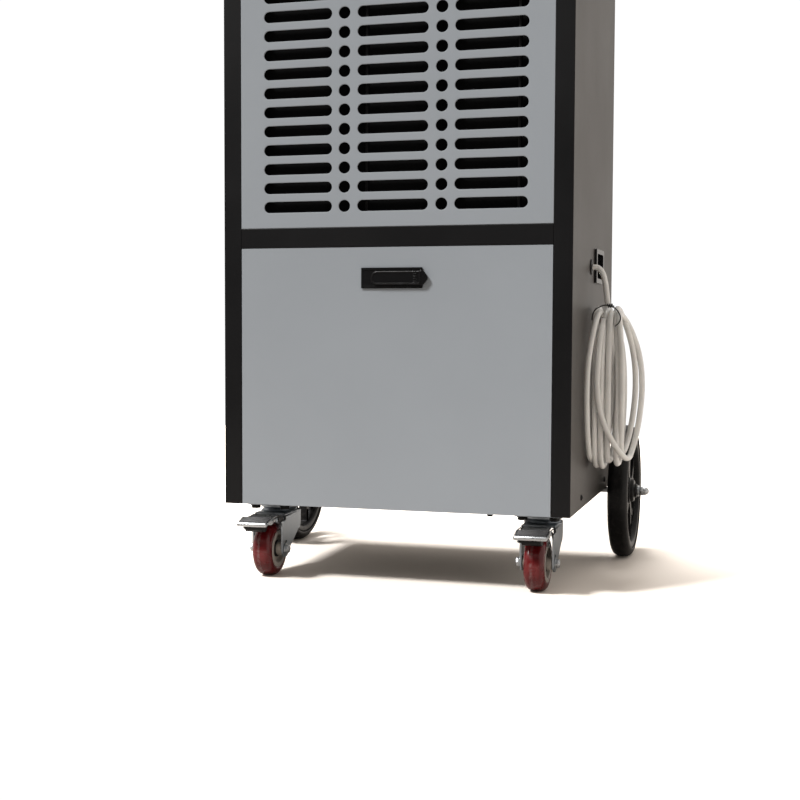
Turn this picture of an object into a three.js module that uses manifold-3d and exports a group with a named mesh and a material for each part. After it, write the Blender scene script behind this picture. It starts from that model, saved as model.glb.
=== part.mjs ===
// Wheeled commercial dehumidifier: sheet-metal cabinet on two braked swivel casters and two large
// rear wheels, with a hinged service door, a slotted intake, a control fascia and a coiled drain hose.
// Millimetres, +Z up. Machine coordinates: x = 0 on the centre line, y = 0 on the front face with +Y
// to the rear, z = 0 on the floor. The outer group shifts y so that the origin is under the middle
// of the footprint.
import * as THREE from 'three';
import * as BufferGeometryUtils from 'three/addons/utils/BufferGeometryUtils.js';
import Module from 'manifold-3d';

const wasm = await Module();
wasm.setup();

// ---- driving dimensions -------------------------------------------------------------------------
const GAP = 0.3; // clearance between pieces that rest on each other
const SHEET = 1.5; // cabinet sheet thickness

const BODY_W = 480;
const BODY_D = 377.6;
const BODY_BOTTOM = 104.5;
const BODY_TOP = 1000;
const POST_W = 25;
const POST_D = 24;
const HALF_W = BODY_W / 2;
const OPENING_HALF = HALF_W - POST_W; // half width between the front posts

const DOOR_TOP = 455;
const DOOR_DEPTH = 18;
const BEAM_TOP = 481.8;
const BEAM_DEPTH = 20;
const INTAKE_TOP = 840;
const SLOPE_FOOT = 866; // where the sloped control fascia starts
const SLOPE_RUN = 85; // how far back the slope reaches at the top

const SLOT_ROWS = 12;
const SLOT_FIRST_Z = 509.8;
const SLOT_PITCH = 25.4;
const SLOT_H = 15;
const SLOT_LENGTH = 97;
const SLOT_COLUMNS = [-132.8, 0, 132.8];
const DOT_COLUMNS = [-66.8, 66.8];
const DOT_R = 8;

const HINGE_Y = 5;
const HINGE_Z = 110;
const HINGE_PIN_R = 2.5;

const LATCH_Z = 413.75;
const LATCH_W = 85;
const LATCH_H = 27.5;
const LATCH_PIVOT_X = -19;
const LATCH_BASE_T = 1.8;
const LEVER_R = 10;
const LEVER_TIP_X = 50;
const LEVER_T = 3;
const LATCH_SHAFT_R = 5;
const CAM_Y = 21.5;

const CASTER_X = 191;
const CASTER_Y = 43;
const SWIVEL_Y = 80;
const CASTER_R = 37.5;
const CASTER_W = 28;
const CASTER_CORE_R = 26;
const FORK_HALF = 23;
const FORK_T = 2.5;
const CROWN_Z = 84.5;
const RACE_Z = 92;
const CASTER_PLATE_Z = 99;
const CASTER_AXLE_R = 4;
const PEDAL_PIVOT_Y = 22;
const PEDAL_PIVOT_Z = 81;
const PEDAL_W = 46;
const TREAD_STEPS = 3; // flats in the rounded shoulder of a tyre

const WHEEL_X = 267;
const WHEEL_Y = 355;
const WHEEL_R = 100;
const WHEEL_W = 30;
const RIM_R = 87.5;
const RIM_OPEN_R = 77;
const HUB_R = 19;
const SPOKES = 5;
const AXLE_R = 4.2;
const AXLE_HALF = 304;

const INLET_Y = 226;
const INLET_Z = 436;
const INLET_W = 72;
const INLET_H = 48;
const INLET_RECESS_W = 58;
const INLET_RECESS_H = 35;
const GROMMET_Y = 159.5;
const GROMMET_Z = 433;
const HOSE_R = 4;

const HANDLE_R = 11;
const HANDLE_HALF = 190;
const HANDLE_Y = 392;
const HANDLE_FOOT_Z = 850;
const HANDLE_TOP_Z = 1049;
const HANDLE_BEND = 45;

const FAN_Y = 225;
const FAN_Z = 905;
const FAN_R = 118;
const SHELF_Z = 462;

const FOOTPRINT_FRONT = -16;
const FOOTPRINT_REAR = WHEEL_Y + WHEEL_R;

// ---- finishes -----------------------------------------------------------------------------------
const finish = (color, roughness, metalness) =>
  new THREE.MeshStandardMaterial({ color, roughness, metalness });
const FINISH = {
  greyPaint: () => finish(0x9ca0a3, 0.45, 0.1),
  blackPaint: () => finish(0x1d1d1f, 0.5, 0.1),
  bronzePaint: () => finish(0x6f6963, 0.42, 0.2),
  blackPlastic: () => finish(0x18181a, 0.45, 0),
  zinc: () => finish(0xa6abb0, 0.35, 0.9),
  aluminium: () => finish(0xb9bcbf, 0.4, 0.9),
  copper: () => finish(0xb07850, 0.35, 0.9),
  redTyre: () => finish(0x6e1f21, 0.4, 0),
  blackTyre: () => finish(0x161616, 0.75, 0),
  taupePlastic: () => finish(0x6b645d, 0.5, 0),
  clearHose: () => finish(0xd6d2cb, 0.3, 0),
  filterMesh: () => finish(0x151516, 0.85, 0),
  screen: () => finish(0x0c1418, 0.15, 0),
  whitePlastic: () => finish(0xd9d9d6, 0.5, 0),
};

// ---- solids -------------------------------------------------------------------------------------
/** Turns a closed geometry into a solid that can be joined and cut. */
function solid(geometry) {
  const bare = geometry.index ? geometry.toNonIndexed() : geometry.clone();
  for (const name of Object.keys(bare.attributes)) {
    if (name !== 'position') bare.deleteAttribute(name);
  }
  const merged = BufferGeometryUtils.mergeVertices(bare, 1e-4);
  return new wasm.Manifold(new wasm.Mesh({
    numProp: 3,
    vertProperties: Float32Array.from(merged.attributes.position.array),
    triVerts: Uint32Array.from(merged.index.array),
  }));
}

/** Wraps a solid or a geometry as a named mesh. */
function node(name, shape, material) {
  let geometry = shape;
  if (!shape.isBufferGeometry) {
    const mesh = shape.getMesh();
    geometry = new THREE.BufferGeometry();
    geometry.setAttribute('position', new THREE.BufferAttribute(mesh.vertProperties, 3));
    geometry.setIndex(new THREE.BufferAttribute(mesh.triVerts, 1));
  }
  const made = new THREE.Mesh(geometry, material);
  made.name = name;
  return made;
}

const union = (first, ...rest) => rest.reduce((sum, next) => sum.add(next), first);
const cut = (first, ...tools) => tools.reduce((left, tool) => left.subtract(tool), first);

/** Box from its low and high corner. */
function block(x0, x1, y0, y1, z0, z1) {
  const geometry = new THREE.BoxGeometry(x1 - x0, y1 - y0, z1 - z0);
  geometry.translate((x0 + x1) / 2, (y0 + y1) / 2, (z0 + z1) / 2);
  return solid(geometry);
}

/** Turns a geometry that stands along +Y so that it lies along the named axis. */
function along(geometry, axis) {
  if (axis === 'x') geometry.rotateZ(-Math.PI / 2);
  if (axis === 'z') geometry.rotateX(Math.PI / 2);
  return geometry;
}

/** Cylinder between two places on an axis through (a, b), the other two coordinates in order. */
function rod(axis, from, to, a, b, radius, sides = 24) {
  const geometry = along(new THREE.CylinderGeometry(radius, radius, to - from, sides), axis);
  const middle = (from + to) / 2;
  const centre = { x: [middle, a, b], y: [a, middle, b], z: [a, b, middle] }[axis];
  geometry.translate(...centre);
  return solid(geometry);
}

/** Ring or disc turned about the X axis, from [radius, x] pairs. */
function turned(profile, x, y, z, sides) {
  const points = profile.map(([radius, offset]) => new THREE.Vector2(radius, offset));
  const geometry = new THREE.LatheGeometry(points, sides);
  geometry.rotateZ(-Math.PI / 2);
  geometry.rotateX(Math.PI / 2);
  geometry.translate(x, y, z);
  return facingOut(solid(geometry));
}

/** Passes a solid on, and stops the build when its profile ran the wrong way round. */
function facingOut(shape) {
  if (shape.volume() > 0) return shape;
  throw new Error('a turned profile runs the wrong way round');
}

/** Prism of a YZ outline between two x values. */
function prismX(outline, x0, x1) {
  const shape = new THREE.Shape(outline.map(([y, z]) => new THREE.Vector2(y, z)));
  const geometry = new THREE.ExtrudeGeometry(shape, { depth: x1 - x0, bevelEnabled: false });
  geometry.rotateY(Math.PI / 2);
  geometry.rotateX(Math.PI / 2);
  geometry.translate(x0, 0, 0);
  return solid(geometry);
}

/** Prism of an XZ outline between two y values. */
function prismY(shape, y0, y1, curveSegments = 4) {
  const geometry = new THREE.ExtrudeGeometry(shape, { depth: y1 - y0, bevelEnabled: false, curveSegments });
  geometry.rotateX(Math.PI / 2);
  geometry.translate(0, y1, 0);
  return solid(geometry);
}

/** XZ outline of a level slot with round ends. */
function slotShape(cx, cz, length, height) {
  const r = height / 2;
  const half = length / 2 - r;
  const shape = new THREE.Shape();
  shape.absarc(cx + half, cz, r, -Math.PI / 2, Math.PI / 2, false);
  shape.absarc(cx - half, cz, r, Math.PI / 2, 3 * Math.PI / 2, false);
  return shape;
}

/** Round tube along a smooth curve through the points. */
function tube(points, radius, steps, sides = 10) {
  const path = new THREE.CatmullRomCurve3(points.map((p) => new THREE.Vector3(...p)), false, 'centripetal');
  const ring = new THREE.Shape();
  for (let i = 0; i < sides; i += 1) {
    const angle = (i / sides) * 2 * Math.PI;
    const place = [radius * Math.cos(angle), radius * Math.sin(angle)];
    if (i === 0) ring.moveTo(...place);
    else ring.lineTo(...place);
  }
  ring.closePath();
  return solid(new THREE.ExtrudeGeometry(ring, { steps, extrudePath: path, curveSegments: 1 }));
}

// ---- cabinet ------------------------------------------------------------------------------------
const slopeAngle = Math.atan2(SLOPE_RUN, BODY_TOP - SLOPE_FOOT); // lean back from upright

/** Side view of the cabinet, drawn in by a margin on every side. */
function cabinetProfile(front, rear, bottom, top) {
  const reach = (top - SLOPE_FOOT) * Math.tan(slopeAngle);
  return [[front, bottom], [rear, bottom], [rear, top], [front + reach, top], [front, SLOPE_FOOT]];
}

/** Front corner post: square tube with a flange flush with the door, and the door's hinge pin. */
function frontPost(side) {
  const inner = OPENING_HALF + GAP;
  const skin = prismX([[0, BODY_BOTTOM], [1.2, BODY_BOTTOM], [1.2, SLOPE_FOOT - GAP], [0, SLOPE_FOOT - GAP]],
    inner, HALF_W);
  const tubeBody = block(inner, HALF_W - SHEET - GAP, 0.6, POST_D, BODY_BOTTOM, SLOPE_FOOT - GAP);
  const bore = block(inner + 2, HALF_W - SHEET - GAP - 2, 2.6, POST_D - 2, BODY_BOTTOM - 1, SLOPE_FOOT + 1);
  const pin = rod('x', inner - 12, inner + 2, HINGE_Y, HINGE_Z, HINGE_PIN_R, 12);
  const post = union(cut(union(skin, tubeBody), bore), pin);
  return side > 0 ? post : post.scale([-1, 1, 1]);
}

/** Side panel: folded sheet with a return along the rear edge. */
function sidePanel() {
  const sheet = prismX(cabinetProfile(1.5, BODY_D, BODY_BOTTOM, BODY_TOP), HALF_W - SHEET, HALF_W);
  const rearReturn = block(HALF_W - 16, HALF_W - SHEET / 2, BODY_D - SHEET, BODY_D, BODY_BOTTOM, BODY_TOP);
  return union(sheet, rearReturn);
}

function sidePanelRight() {
  const inletHole = block(HALF_W - 5, HALF_W + 5,
    INLET_Y - INLET_RECESS_W / 2 - 3.5, INLET_Y + INLET_RECESS_W / 2 + 3.5,
    INLET_Z - INLET_RECESS_H / 2 - 3.5, INLET_Z + INLET_RECESS_H / 2 + 3.5);
  const hoseHole = rod('x', HALF_W - 5, HALF_W + 5, GROMMET_Y, GROMMET_Z, 8, 20);
  return cut(sidePanel(), inletHole, hoseHole);
}

function rearPanel() {
  const half = HALF_W - 16.5;
  const sheet = block(-half, half, BODY_D - 2, BODY_D - 0.4, BODY_BOTTOM + 4, BODY_TOP - 3);
  const vents = [];
  for (let row = 0; row < 7; row += 1) {
    const slot = slotShape(0, 175 + row * 24, 260, 8);
    vents.push(prismY(slot, BODY_D - 6, BODY_D + 3, 2));
  }
  return cut(sheet, ...vents);
}

/** Base pan with low lips front and rear, and the two brackets that carry the rear axle. */
function basePan() {
  const half = HALF_W - SHEET - GAP;
  const floorTop = BODY_BOTTOM + 2.5;
  const front = POST_D + 0.5;
  const rear = BODY_D - 2.5;
  const parts = [
    block(-half, half, front, rear, BODY_BOTTOM, floorTop),
    block(-half, half, front, front + 1.5, BODY_BOTTOM, floorTop + 8),
  ];
  for (const side of [-1, 1]) {
    const x = side * 196;
    const plate = block(x - 3, x + 3, WHEEL_Y - 16, WHEEL_Y + 14, 88, BODY_BOTTOM + 1);
    parts.push(cut(plate, rod('x', x - 5, x + 5, WHEEL_Y, WHEEL_R, AXLE_R + 0.1, 24)));
  }
  return cut(union(...parts), block(-half, half, WHEEL_Y - 5, WHEEL_Y + 5, BODY_BOTTOM - 0.1, BODY_BOTTOM + 0.2));
}

/** Hollow beam across the front, open at its ends. */
function frontBeam(z0, z1) {
  const half = OPENING_HALF;
  const wall = 2;
  const bore = block(-half - 1, half + 1, wall, BEAM_DEPTH - wall, z0 + wall, z1 - wall);
  return cut(block(-half, half, 0, BEAM_DEPTH, z0, z1), bore);
}

/** Upper front sheet with rows of level slots and round holes between them. */
function intakePanel() {
  const half = OPENING_HALF;
  const sheet = block(-half, half, 0, SHEET, BEAM_TOP, INTAKE_TOP);
  const holes = [];
  for (let row = 0; row < SLOT_ROWS; row += 1) {
    const z = SLOT_FIRST_Z + row * SLOT_PITCH;
    for (const x of SLOT_COLUMNS) holes.push(prismY(slotShape(x, z, SLOT_LENGTH, SLOT_H), -2, 4, 2));
    for (const x of DOT_COLUMNS) holes.push(rod('y', -2, 4, x, z, DOT_R, 8));
  }
  return cut(sheet, ...holes);
}

function intakeFilter() {
  return block(-205, 205, 6, 16, 490, 832);
}

// The fascia group lies in the slope: local x across, local y into the cabinet, local z up the slope.
const slopeLength = Math.hypot(SLOPE_RUN, BODY_TOP - SLOPE_FOOT);
const SCREEN_X = -70;
const BUTTON_XS = [30, 75, 120];
const BUTTON_R = 11;

/** Sloped panel with a display window and round button openings. */
function controlFascia() {
  const half = HALF_W - SHEET - GAP;
  const plate = block(-half, half, 0, 3, 2.2, slopeLength - 4);
  const middle = slopeLength / 2;
  const window = block(SCREEN_X - 60, SCREEN_X + 60, -2, 5, middle - 32, middle + 32);
  const wells = BUTTON_XS.map((x) => rod('y', -2, 5, x, middle, BUTTON_R + 0.5, 16));
  return cut(plate, window, ...wells);
}

function displayUnit() {
  const middle = slopeLength / 2;
  return block(SCREEN_X - 59.6, SCREEN_X + 59.6, 0.6, 12, middle - 31.6, middle + 31.6);
}

/** Round push button with a wider foot behind the fascia. */
function pushButton(x) {
  const middle = slopeLength / 2;
  return union(rod('y', -3, 5, x, middle, BUTTON_R, 16), rod('y', 4, 9, x, middle, BUTTON_R + 3, 16));
}

/** Roof sheet with the outlet slots and a folded lip at the front. */
function topCover() {
  const half = HALF_W - SHEET - GAP;
  const front = SLOPE_RUN + 2.5;
  const rear = BODY_D - 2.5;
  const sheet = block(-half, half, front, rear, BODY_TOP - 2, BODY_TOP);
  const slots = [];
  for (let row = 0; row < 10; row += 1) {
    const y = FAN_Y - 90 + row * 20;
    slots.push(block(-150, 150, y - 5.5, y + 5.5, BODY_TOP - 5, BODY_TOP + 5));
  }
  return cut(sheet, ...slots);
}

// ---- push handle --------------------------------------------------------------------------------
/** U-shaped tube that rises behind the cabinet. */
function pushHandle() {
  const bend = (side) => {
    const points = [];
    for (let i = 0; i <= 4; i += 1) {
      const angle = (i / 4) * Math.PI / 2;
      points.push([
        side * (HANDLE_HALF - HANDLE_BEND + HANDLE_BEND * Math.cos(angle)),
        HANDLE_Y,
        HANDLE_TOP_Z - HANDLE_BEND + HANDLE_BEND * Math.sin(angle),
      ]);
    }
    return points;
  };
  const right = bend(1);
  const left = bend(-1).reverse();
  const foot = (side) => [side * HANDLE_HALF, HANDLE_Y, HANDLE_FOOT_Z];
  return tube([foot(1), [HANDLE_HALF, HANDLE_Y, 930], ...right, [0, HANDLE_Y, HANDLE_TOP_Z], ...left,
    [-HANDLE_HALF, HANDLE_Y, 930], foot(-1)], HANDLE_R, 32, 10);
}

/** Clamp block that holds one leg of the handle against the rear panel. */
function handleBracket(side) {
  const x = side * HANDLE_HALF;
  const body = block(x - 18, x + 18, BODY_D + GAP, HANDLE_Y + 15, 880, 910);
  const foot = block(x - 18, x + 18, BODY_D + GAP, HANDLE_Y + 15, 858, 866);
  const spine = block(x - 18, x + 18, BODY_D + GAP, BODY_D + 2.5, 858, 910);
  return cut(union(body, foot, spine), rod('z', 840, 920, x, HANDLE_Y, HANDLE_R + 0.4, 24));
}

// ---- works inside -------------------------------------------------------------------------------
/** Fin block with the tube ends standing out of it at both sides. */
function finCoil(y0, y1) {
  const parts = [block(-175, 175, y0, y1, 500, 820)];
  for (let row = 0; row < 5; row += 1) {
    parts.push(rod('x', -188, 188, (y0 + y1) / 2, 530 + row * 65, 5, 10));
  }
  return union(...parts);
}

function fanShroud() {
  const plate = block(-200, 200, 100, 350, FAN_Z + 20, FAN_Z + 23);
  return cut(plate, rod('z', FAN_Z, FAN_Z + 40, 0, FAN_Y, FAN_R + 6, 32));
}

/** Five-bladed propeller on a short hub. */
function fanWheel() {
  const hub = rod('z', FAN_Z, FAN_Z + 30, 0, FAN_Y, 26, 20);
  const parts = [hub];
  for (let i = 0; i < 5; i += 1) {
    const blade = new THREE.BoxGeometry(FAN_R - 22, 58, 2.2);
    blade.rotateX(0.42);
    blade.translate(22 + (FAN_R - 22) / 2 - 4, 0, 0);
    blade.rotateZ((i / 5) * 2 * Math.PI);
    blade.translate(0, FAN_Y, FAN_Z + 15);
    parts.push(solid(blade));
  }
  return cut(union(...parts), rod('z', FAN_Z - 5, FAN_Z + 22, 0, FAN_Y, 4.4, 16));
}

function fanMotor() {
  return union(
    rod('z', FAN_Z - 75, FAN_Z - 8, 0, FAN_Y, 42, 24),
    rod('z', FAN_Z - 10, FAN_Z + 20, 0, FAN_Y, 4, 16),
    block(-200, 200, FAN_Y - 12, FAN_Y + 12, FAN_Z - 80, FAN_Z - 75),
  );
}

function midShelf() {
  const half = HALF_W - SHEET - GAP;
  const plate = block(-half, half, POST_D + 1, BODY_D - 2.5, SHELF_Z, SHELF_Z + 2);
  return cut(plate, rod('z', SHELF_Z - 3, SHELF_Z + 5, -215, 126, 11, 16));
}

function dripTray() {
  const outer = block(-200, 200, 28, 130, SHELF_Z + 2.5, SHELF_Z + 26);
  return cut(outer, block(-197, 197, 31, 127, SHELF_Z + 5.5, SHELF_Z + 40));
}

function trayFloat() {
  return union(
    rod('z', SHELF_Z + 6.5, SHELF_Z + 16, 150, 115, 9, 16),
    rod('z', SHELF_Z + 15, SHELF_Z + 30, 150, 115, 3, 12),
  );
}

function compressor() {
  const shell = [[0, 0], [54, 0], [60, 10], [60, 180], [50, 206], [25, 216], [0, 218]];
  const points = shell.map(([r, h]) => new THREE.Vector2(r, h));
  const can = new THREE.LatheGeometry(points, 20);
  can.rotateX(Math.PI / 2);
  can.translate(-60, 240, 119);
  const parts = [solid(can)];
  for (const [dx, dy] of [[-70, -70], [70, -70], [-70, 70], [70, 70]]) {
    parts.push(rod('z', 107.5, 119.5, -60 + dx, 240 + dy, 12, 12));
  }
  parts.push(block(-145, 25, 155, 325, 119, 122));
  return union(...parts);
}

function condensatePump() {
  return union(
    block(110, 200, 110, 210, 108, 180),
    rod('z', 179, 215, 155, 160, 26, 20),
    rod('x', 199, 214, 160, 150, 5, 12),
  );
}

function refrigerantPipe() {
  return tube([[-60, 240, 337.5], [-60, 240, 365], [-60, 232, 390], [-110, 200, 410], [-160, 160, 425],
    [-190, 130, 440], [-215, 126, 462], [-216, 124, 500], [-214, 104, 560]], 5, 18, 8);
}

function controlBox() {
  return block(-200, -60, 250, 345, SHELF_Z + 2.5, SHELF_Z + 72);
}

function innerHose() {
  return tube([[215, 160, 150], [224, 160, 151], [229, 160, 170], [229, 160, 300], [226, 160, 400],
    [222, 159.6, 426], [226, 159.5, 432], [231.5, 159.5, 433]], HOSE_R, 18, 8);
}

// ---- door and latch -----------------------------------------------------------------------------
function doorSkin() {
  const half = OPENING_HALF - 0.5;
  const z0 = BODY_BOTTOM + 0.2;
  const z1 = DOOR_TOP - 0.4;
  const tray = cut(block(-half, half, 0, DOOR_DEPTH - 1.5, z0, z1),
    block(-half + SHEET, half - SHEET, SHEET, DOOR_DEPTH + 2, z0 + SHEET, z1 - SHEET));
  const pinHole = rod('x', -half - 5, half + 5, HINGE_Y, HINGE_Z, HINGE_PIN_R + 0.4, 12);
  return cut(tray, pinHole, rod('y', -3, 4, LATCH_PIVOT_X, LATCH_Z, LATCH_SHAFT_R + 1, 20));
}

function doorLiner() {
  const half = OPENING_HALF - 0.5;
  const plate = block(-half, half, DOOR_DEPTH - 1.2, DOOR_DEPTH, BODY_BOTTOM + 0.2, DOOR_TOP - 0.4);
  return cut(plate, rod('y', 10, 22, LATCH_PIVOT_X, LATCH_Z, LATCH_SHAFT_R + 1, 20));
}

function latchBase() {
  const plate = block(-LATCH_W / 2, LATCH_W / 2, -LATCH_BASE_T - GAP, -GAP,
    LATCH_Z - LATCH_H / 2, LATCH_Z + LATCH_H / 2);
  return cut(plate, rod('y', -8, 4, LATCH_PIVOT_X, LATCH_Z, LATCH_SHAFT_R + 0.5, 20));
}

/** Lever with a round root over the shaft and a blunt pointed tip. */
function latchLever() {
  const shape = new THREE.Shape();
  shape.absarc(LATCH_PIVOT_X, LATCH_Z, LEVER_R, Math.PI / 2, 3 * Math.PI / 2, false);
  shape.lineTo(LEVER_TIP_X - 8, LATCH_Z - LEVER_R);
  shape.lineTo(LEVER_TIP_X, LATCH_Z - 3);
  shape.lineTo(LEVER_TIP_X, LATCH_Z + 3);
  shape.lineTo(LEVER_TIP_X - 8, LATCH_Z + LEVER_R);
  const front = -LATCH_BASE_T - GAP - 0.4 - LEVER_T;
  return prismY(shape, front, front + LEVER_T, 4);
}

/** Shaft through the door with the cam that turns up behind the cross beam. */
function latchRotor() {
  const shaft = rod('y', -LATCH_BASE_T - GAP, CAM_Y + 3, LATCH_PIVOT_X, LATCH_Z, LATCH_SHAFT_R, 20);
  const cam = block(LATCH_PIVOT_X - 55, LATCH_PIVOT_X + 9, CAM_Y, CAM_Y + 3, LATCH_Z - 9, LATCH_Z + 9);
  return union(shaft, cam);
}

// ---- casters ------------------------------------------------------------------------------------
/** Mounting plate with the upper race, the king pin and four bolt heads. */
function casterPlate(x) {
  const parts = [
    block(x - 32, x + 32, SWIVEL_Y - 46, SWIVEL_Y + 46, CASTER_PLATE_Z, BODY_BOTTOM - GAP),
    rod('z', RACE_Z + GAP, CASTER_PLATE_Z + 1, x, SWIVEL_Y, 27, 20),
    rod('z', CROWN_Z - 2, RACE_Z + 1, x, SWIVEL_Y, 5, 16),
  ];
  for (const dx of [-21.5, 21.5]) {
    for (const dy of [-36, 36]) parts.push(rod('z', 93, CASTER_PLATE_Z + 1, x + dx, SWIVEL_Y + dy, 7.2, 6));
  }
  return union(...parts);
}

/** Fork: two legs under a crown with the lower race. */
function casterFork(x) {
  const leg = new THREE.Shape();
  leg.moveTo(13, 85);
  leg.lineTo(14, 77);
  leg.lineTo(28, 75);
  leg.lineTo(32, 66);
  leg.lineTo(33, CASTER_R);
  leg.absarc(CASTER_Y + 2, CASTER_R, 12, Math.PI, 2 * Math.PI - 0.35, false);
  leg.lineTo(72, 44);
  leg.lineTo(102, 64);
  leg.lineTo(104, CROWN_Z + 3);
  leg.lineTo(40, CROWN_Z + 3);
  const outline = leg.extractPoints(3).shape.map((p) => [p.x, p.y]);
  const crown = block(x - FORK_HALF, x + FORK_HALF, 46, 104, CROWN_Z, CROWN_Z + 3);
  const race = rod('z', CROWN_Z + 2, RACE_Z, x, SWIVEL_Y, 23, 20);
  const body = union(
    prismX(outline, x - FORK_HALF, x - FORK_HALF + FORK_T),
    prismX(outline, x + FORK_HALF - FORK_T, x + FORK_HALF),
    crown, race,
  );
  return cut(body,
    rod('z', CROWN_Z - 3, RACE_Z + 3, x, SWIVEL_Y, 5.5, 16),
    rod('x', x - 40, x + 40, CASTER_Y, CASTER_R, CASTER_AXLE_R + GAP, 16),
    rod('x', x - 40, x + 40, PEDAL_PIVOT_Y, PEDAL_PIVOT_Z, 2.3, 10));
}

function casterAxle(x) {
  return union(
    rod('x', x - 26, x + 26, CASTER_Y, CASTER_R, CASTER_AXLE_R, 16),
    rod('x', x + FORK_HALF + GAP, x + 28.5, CASTER_Y, CASTER_R, 6.5, 6),
    rod('x', x - 28.5, x - FORK_HALF - GAP, CASTER_Y, CASTER_R, 6.5, 6),
  );
}

/** Tyre section: flat bore, straight flanks and a rounded tread. */
function tyreProfile(bore, radius, width, round) {
  const half = width / 2;
  const points = [[bore, -half]];
  for (let i = 0; i <= TREAD_STEPS; i += 1) {
    const angle = (i / TREAD_STEPS) * Math.PI / 2;
    points.push([radius - round + round * Math.sin(angle), -half + round - round * Math.cos(angle)]);
  }
  for (let i = 0; i <= TREAD_STEPS; i += 1) {
    const angle = (i / TREAD_STEPS) * Math.PI / 2;
    points.push([radius - round + round * Math.cos(angle), half - round + round * Math.sin(angle)]);
  }
  points.push([bore, half], [bore, -half]);
  return points;
}

function casterTyre(x) {
  return turned(tyreProfile(CASTER_CORE_R + GAP, CASTER_R, CASTER_W, 8), x, CASTER_Y, CASTER_R, 28);
}

/** Caster wheel core with a dished web and a hub that reaches the fork legs. */
function casterCore(x) {
  const bore = CASTER_AXLE_R + GAP;
  const half = CASTER_W / 2 - 0.4;
  return turned([[bore, -19.5], [9, -19.5], [10, -8], [20, -6], [22, -half], [CASTER_CORE_R, -half],
    [CASTER_CORE_R, half], [22, half], [20, 6], [10, 8], [9, 19.5], [bore, 19.5], [bore, -19.5]],
  x, CASTER_Y, CASTER_R, 24);
}

/** Brake pedal: sloped tread with a front lip, a narrow tail and the brake block under it. */
function casterPedal(x) {
  const half = PEDAL_W / 2;
  const tread = prismX([[-13, 76.4], [11, 81.2], [11, 84.2], [-13, 80.2]], x - half, x + half);
  const lip = rod('x', x - half, x + half, -13.4, 78, 2.6, 12);
  const tail = prismX([[9, 80.5], [36, 84], [36, 87], [9, 84]], x - 18.5, x + 18.5);
  const pad = prismX([[-8, 77.5], [-7, 68], [6, 65], [16, 76], [30, 79], [30, 84], [9, 82]], x - 17, x + 17);
  const pin = rod('x', x - FORK_HALF + 1, x + FORK_HALF - 1, PEDAL_PIVOT_Y, PEDAL_PIVOT_Z, 2, 10);
  return union(tread, lip, tail, pad, pin);
}

// ---- rear wheels --------------------------------------------------------------------------------
function rearTyre(x) {
  return turned(tyreProfile(RIM_R + GAP, WHEEL_R, WHEEL_W, 9), x, WHEEL_Y, WHEEL_R, 36);
}

/** Rim with a ring, a hub and forked spokes. */
function rearRim(x) {
  const half = WHEEL_W / 2 - 2;
  const ring = turned([[RIM_OPEN_R, -half], [RIM_R, -half], [RIM_R, half], [RIM_OPEN_R, half],
    [RIM_OPEN_R, -half]], x, WHEEL_Y, WHEEL_R, 36);
  const parts = [ring, rod('x', x - 19, x + 19, WHEEL_Y, WHEEL_R, HUB_R, 24)];
  for (let i = 0; i < SPOKES; i += 1) {
    const turn = (i / SPOKES) * 2 * Math.PI + Math.PI / 2;
    const stem = new THREE.BoxGeometry(14, 32, 10);
    stem.translate(0, HUB_R + 12, 0);
    const arms = [-1, 1].map((side) => {
      const arm = new THREE.BoxGeometry(12, 46, 9);
      arm.translate(0, 20, 0);
      arm.rotateZ(side * 0.62);
      arm.translate(0, HUB_R + 23, 0);
      return arm;
    });
    for (const piece of [stem, ...arms]) {
      piece.rotateZ(turn);
      piece.rotateY(Math.PI / 2);
      piece.translate(x, WHEEL_Y, WHEEL_R);
      parts.push(solid(piece));
    }
  }
  return cut(union(...parts), rod('x', x - 25, x + 25, WHEEL_Y, WHEEL_R, AXLE_R + GAP, 20));
}

/** Axle bar with a collar inside each wheel and a domed nut outside. */
function rearAxle() {
  const parts = [rod('x', -AXLE_HALF + 6, AXLE_HALF - 6, WHEEL_Y, WHEEL_R, AXLE_R, 16)];
  for (const side of [-1, 1]) {
    const ends = (a, b) => [Math.min(side * a, side * b), Math.max(side * a, side * b)];
    parts.push(rod('x', ...ends(241.5, 247.5), WHEEL_Y, WHEEL_R, 7.5, 16));
    parts.push(rod('x', ...ends(287, 289), WHEEL_Y, WHEEL_R, 10, 16));
    parts.push(rod('x', ...ends(289, 297), WHEEL_Y, WHEEL_R, 7.4, 6));
    parts.push(rod('x', ...ends(296, AXLE_HALF), WHEEL_Y, WHEEL_R, 6, 12));
  }
  return union(...parts);
}

// ---- side fittings and drain hose ---------------------------------------------------------------
/** Recessed mains inlet with three blades. */
function mainsInlet() {
  const rect = (w, h, x0, x1) => block(x0, x1, INLET_Y - w / 2, INLET_Y + w / 2,
    INLET_Z - h / 2, INLET_Z + h / 2);
  const shell = union(
    rect(INLET_W, INLET_H, HALF_W + GAP, HALF_W + 3.6),
    rect(INLET_RECESS_W + 6, INLET_RECESS_H + 6, HALF_W - 26, HALF_W + 1),
  );
  const hollow = cut(shell, rect(INLET_RECESS_W, INLET_RECESS_H, HALF_W - 23, HALF_W + 5));
  const blade = (dy, dz) => block(HALF_W - 24, HALF_W - 9, INLET_Y + dy - 1, INLET_Y + dy + 1,
    INLET_Z + dz - 3, INLET_Z + dz + 3);
  return union(hollow, blade(-14, -3), blade(14, -3), blade(0, 6));
}

function hoseGrommet() {
  return turned([[4.4, -8], [7.6, -8], [7.6, GAP], [11, GAP], [11, 1.2], [9.8, 1.8], [4.4, 1.8], [4.4, -8]],
    HALF_W, GROMMET_Y, GROMMET_Z, 24);
}

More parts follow.
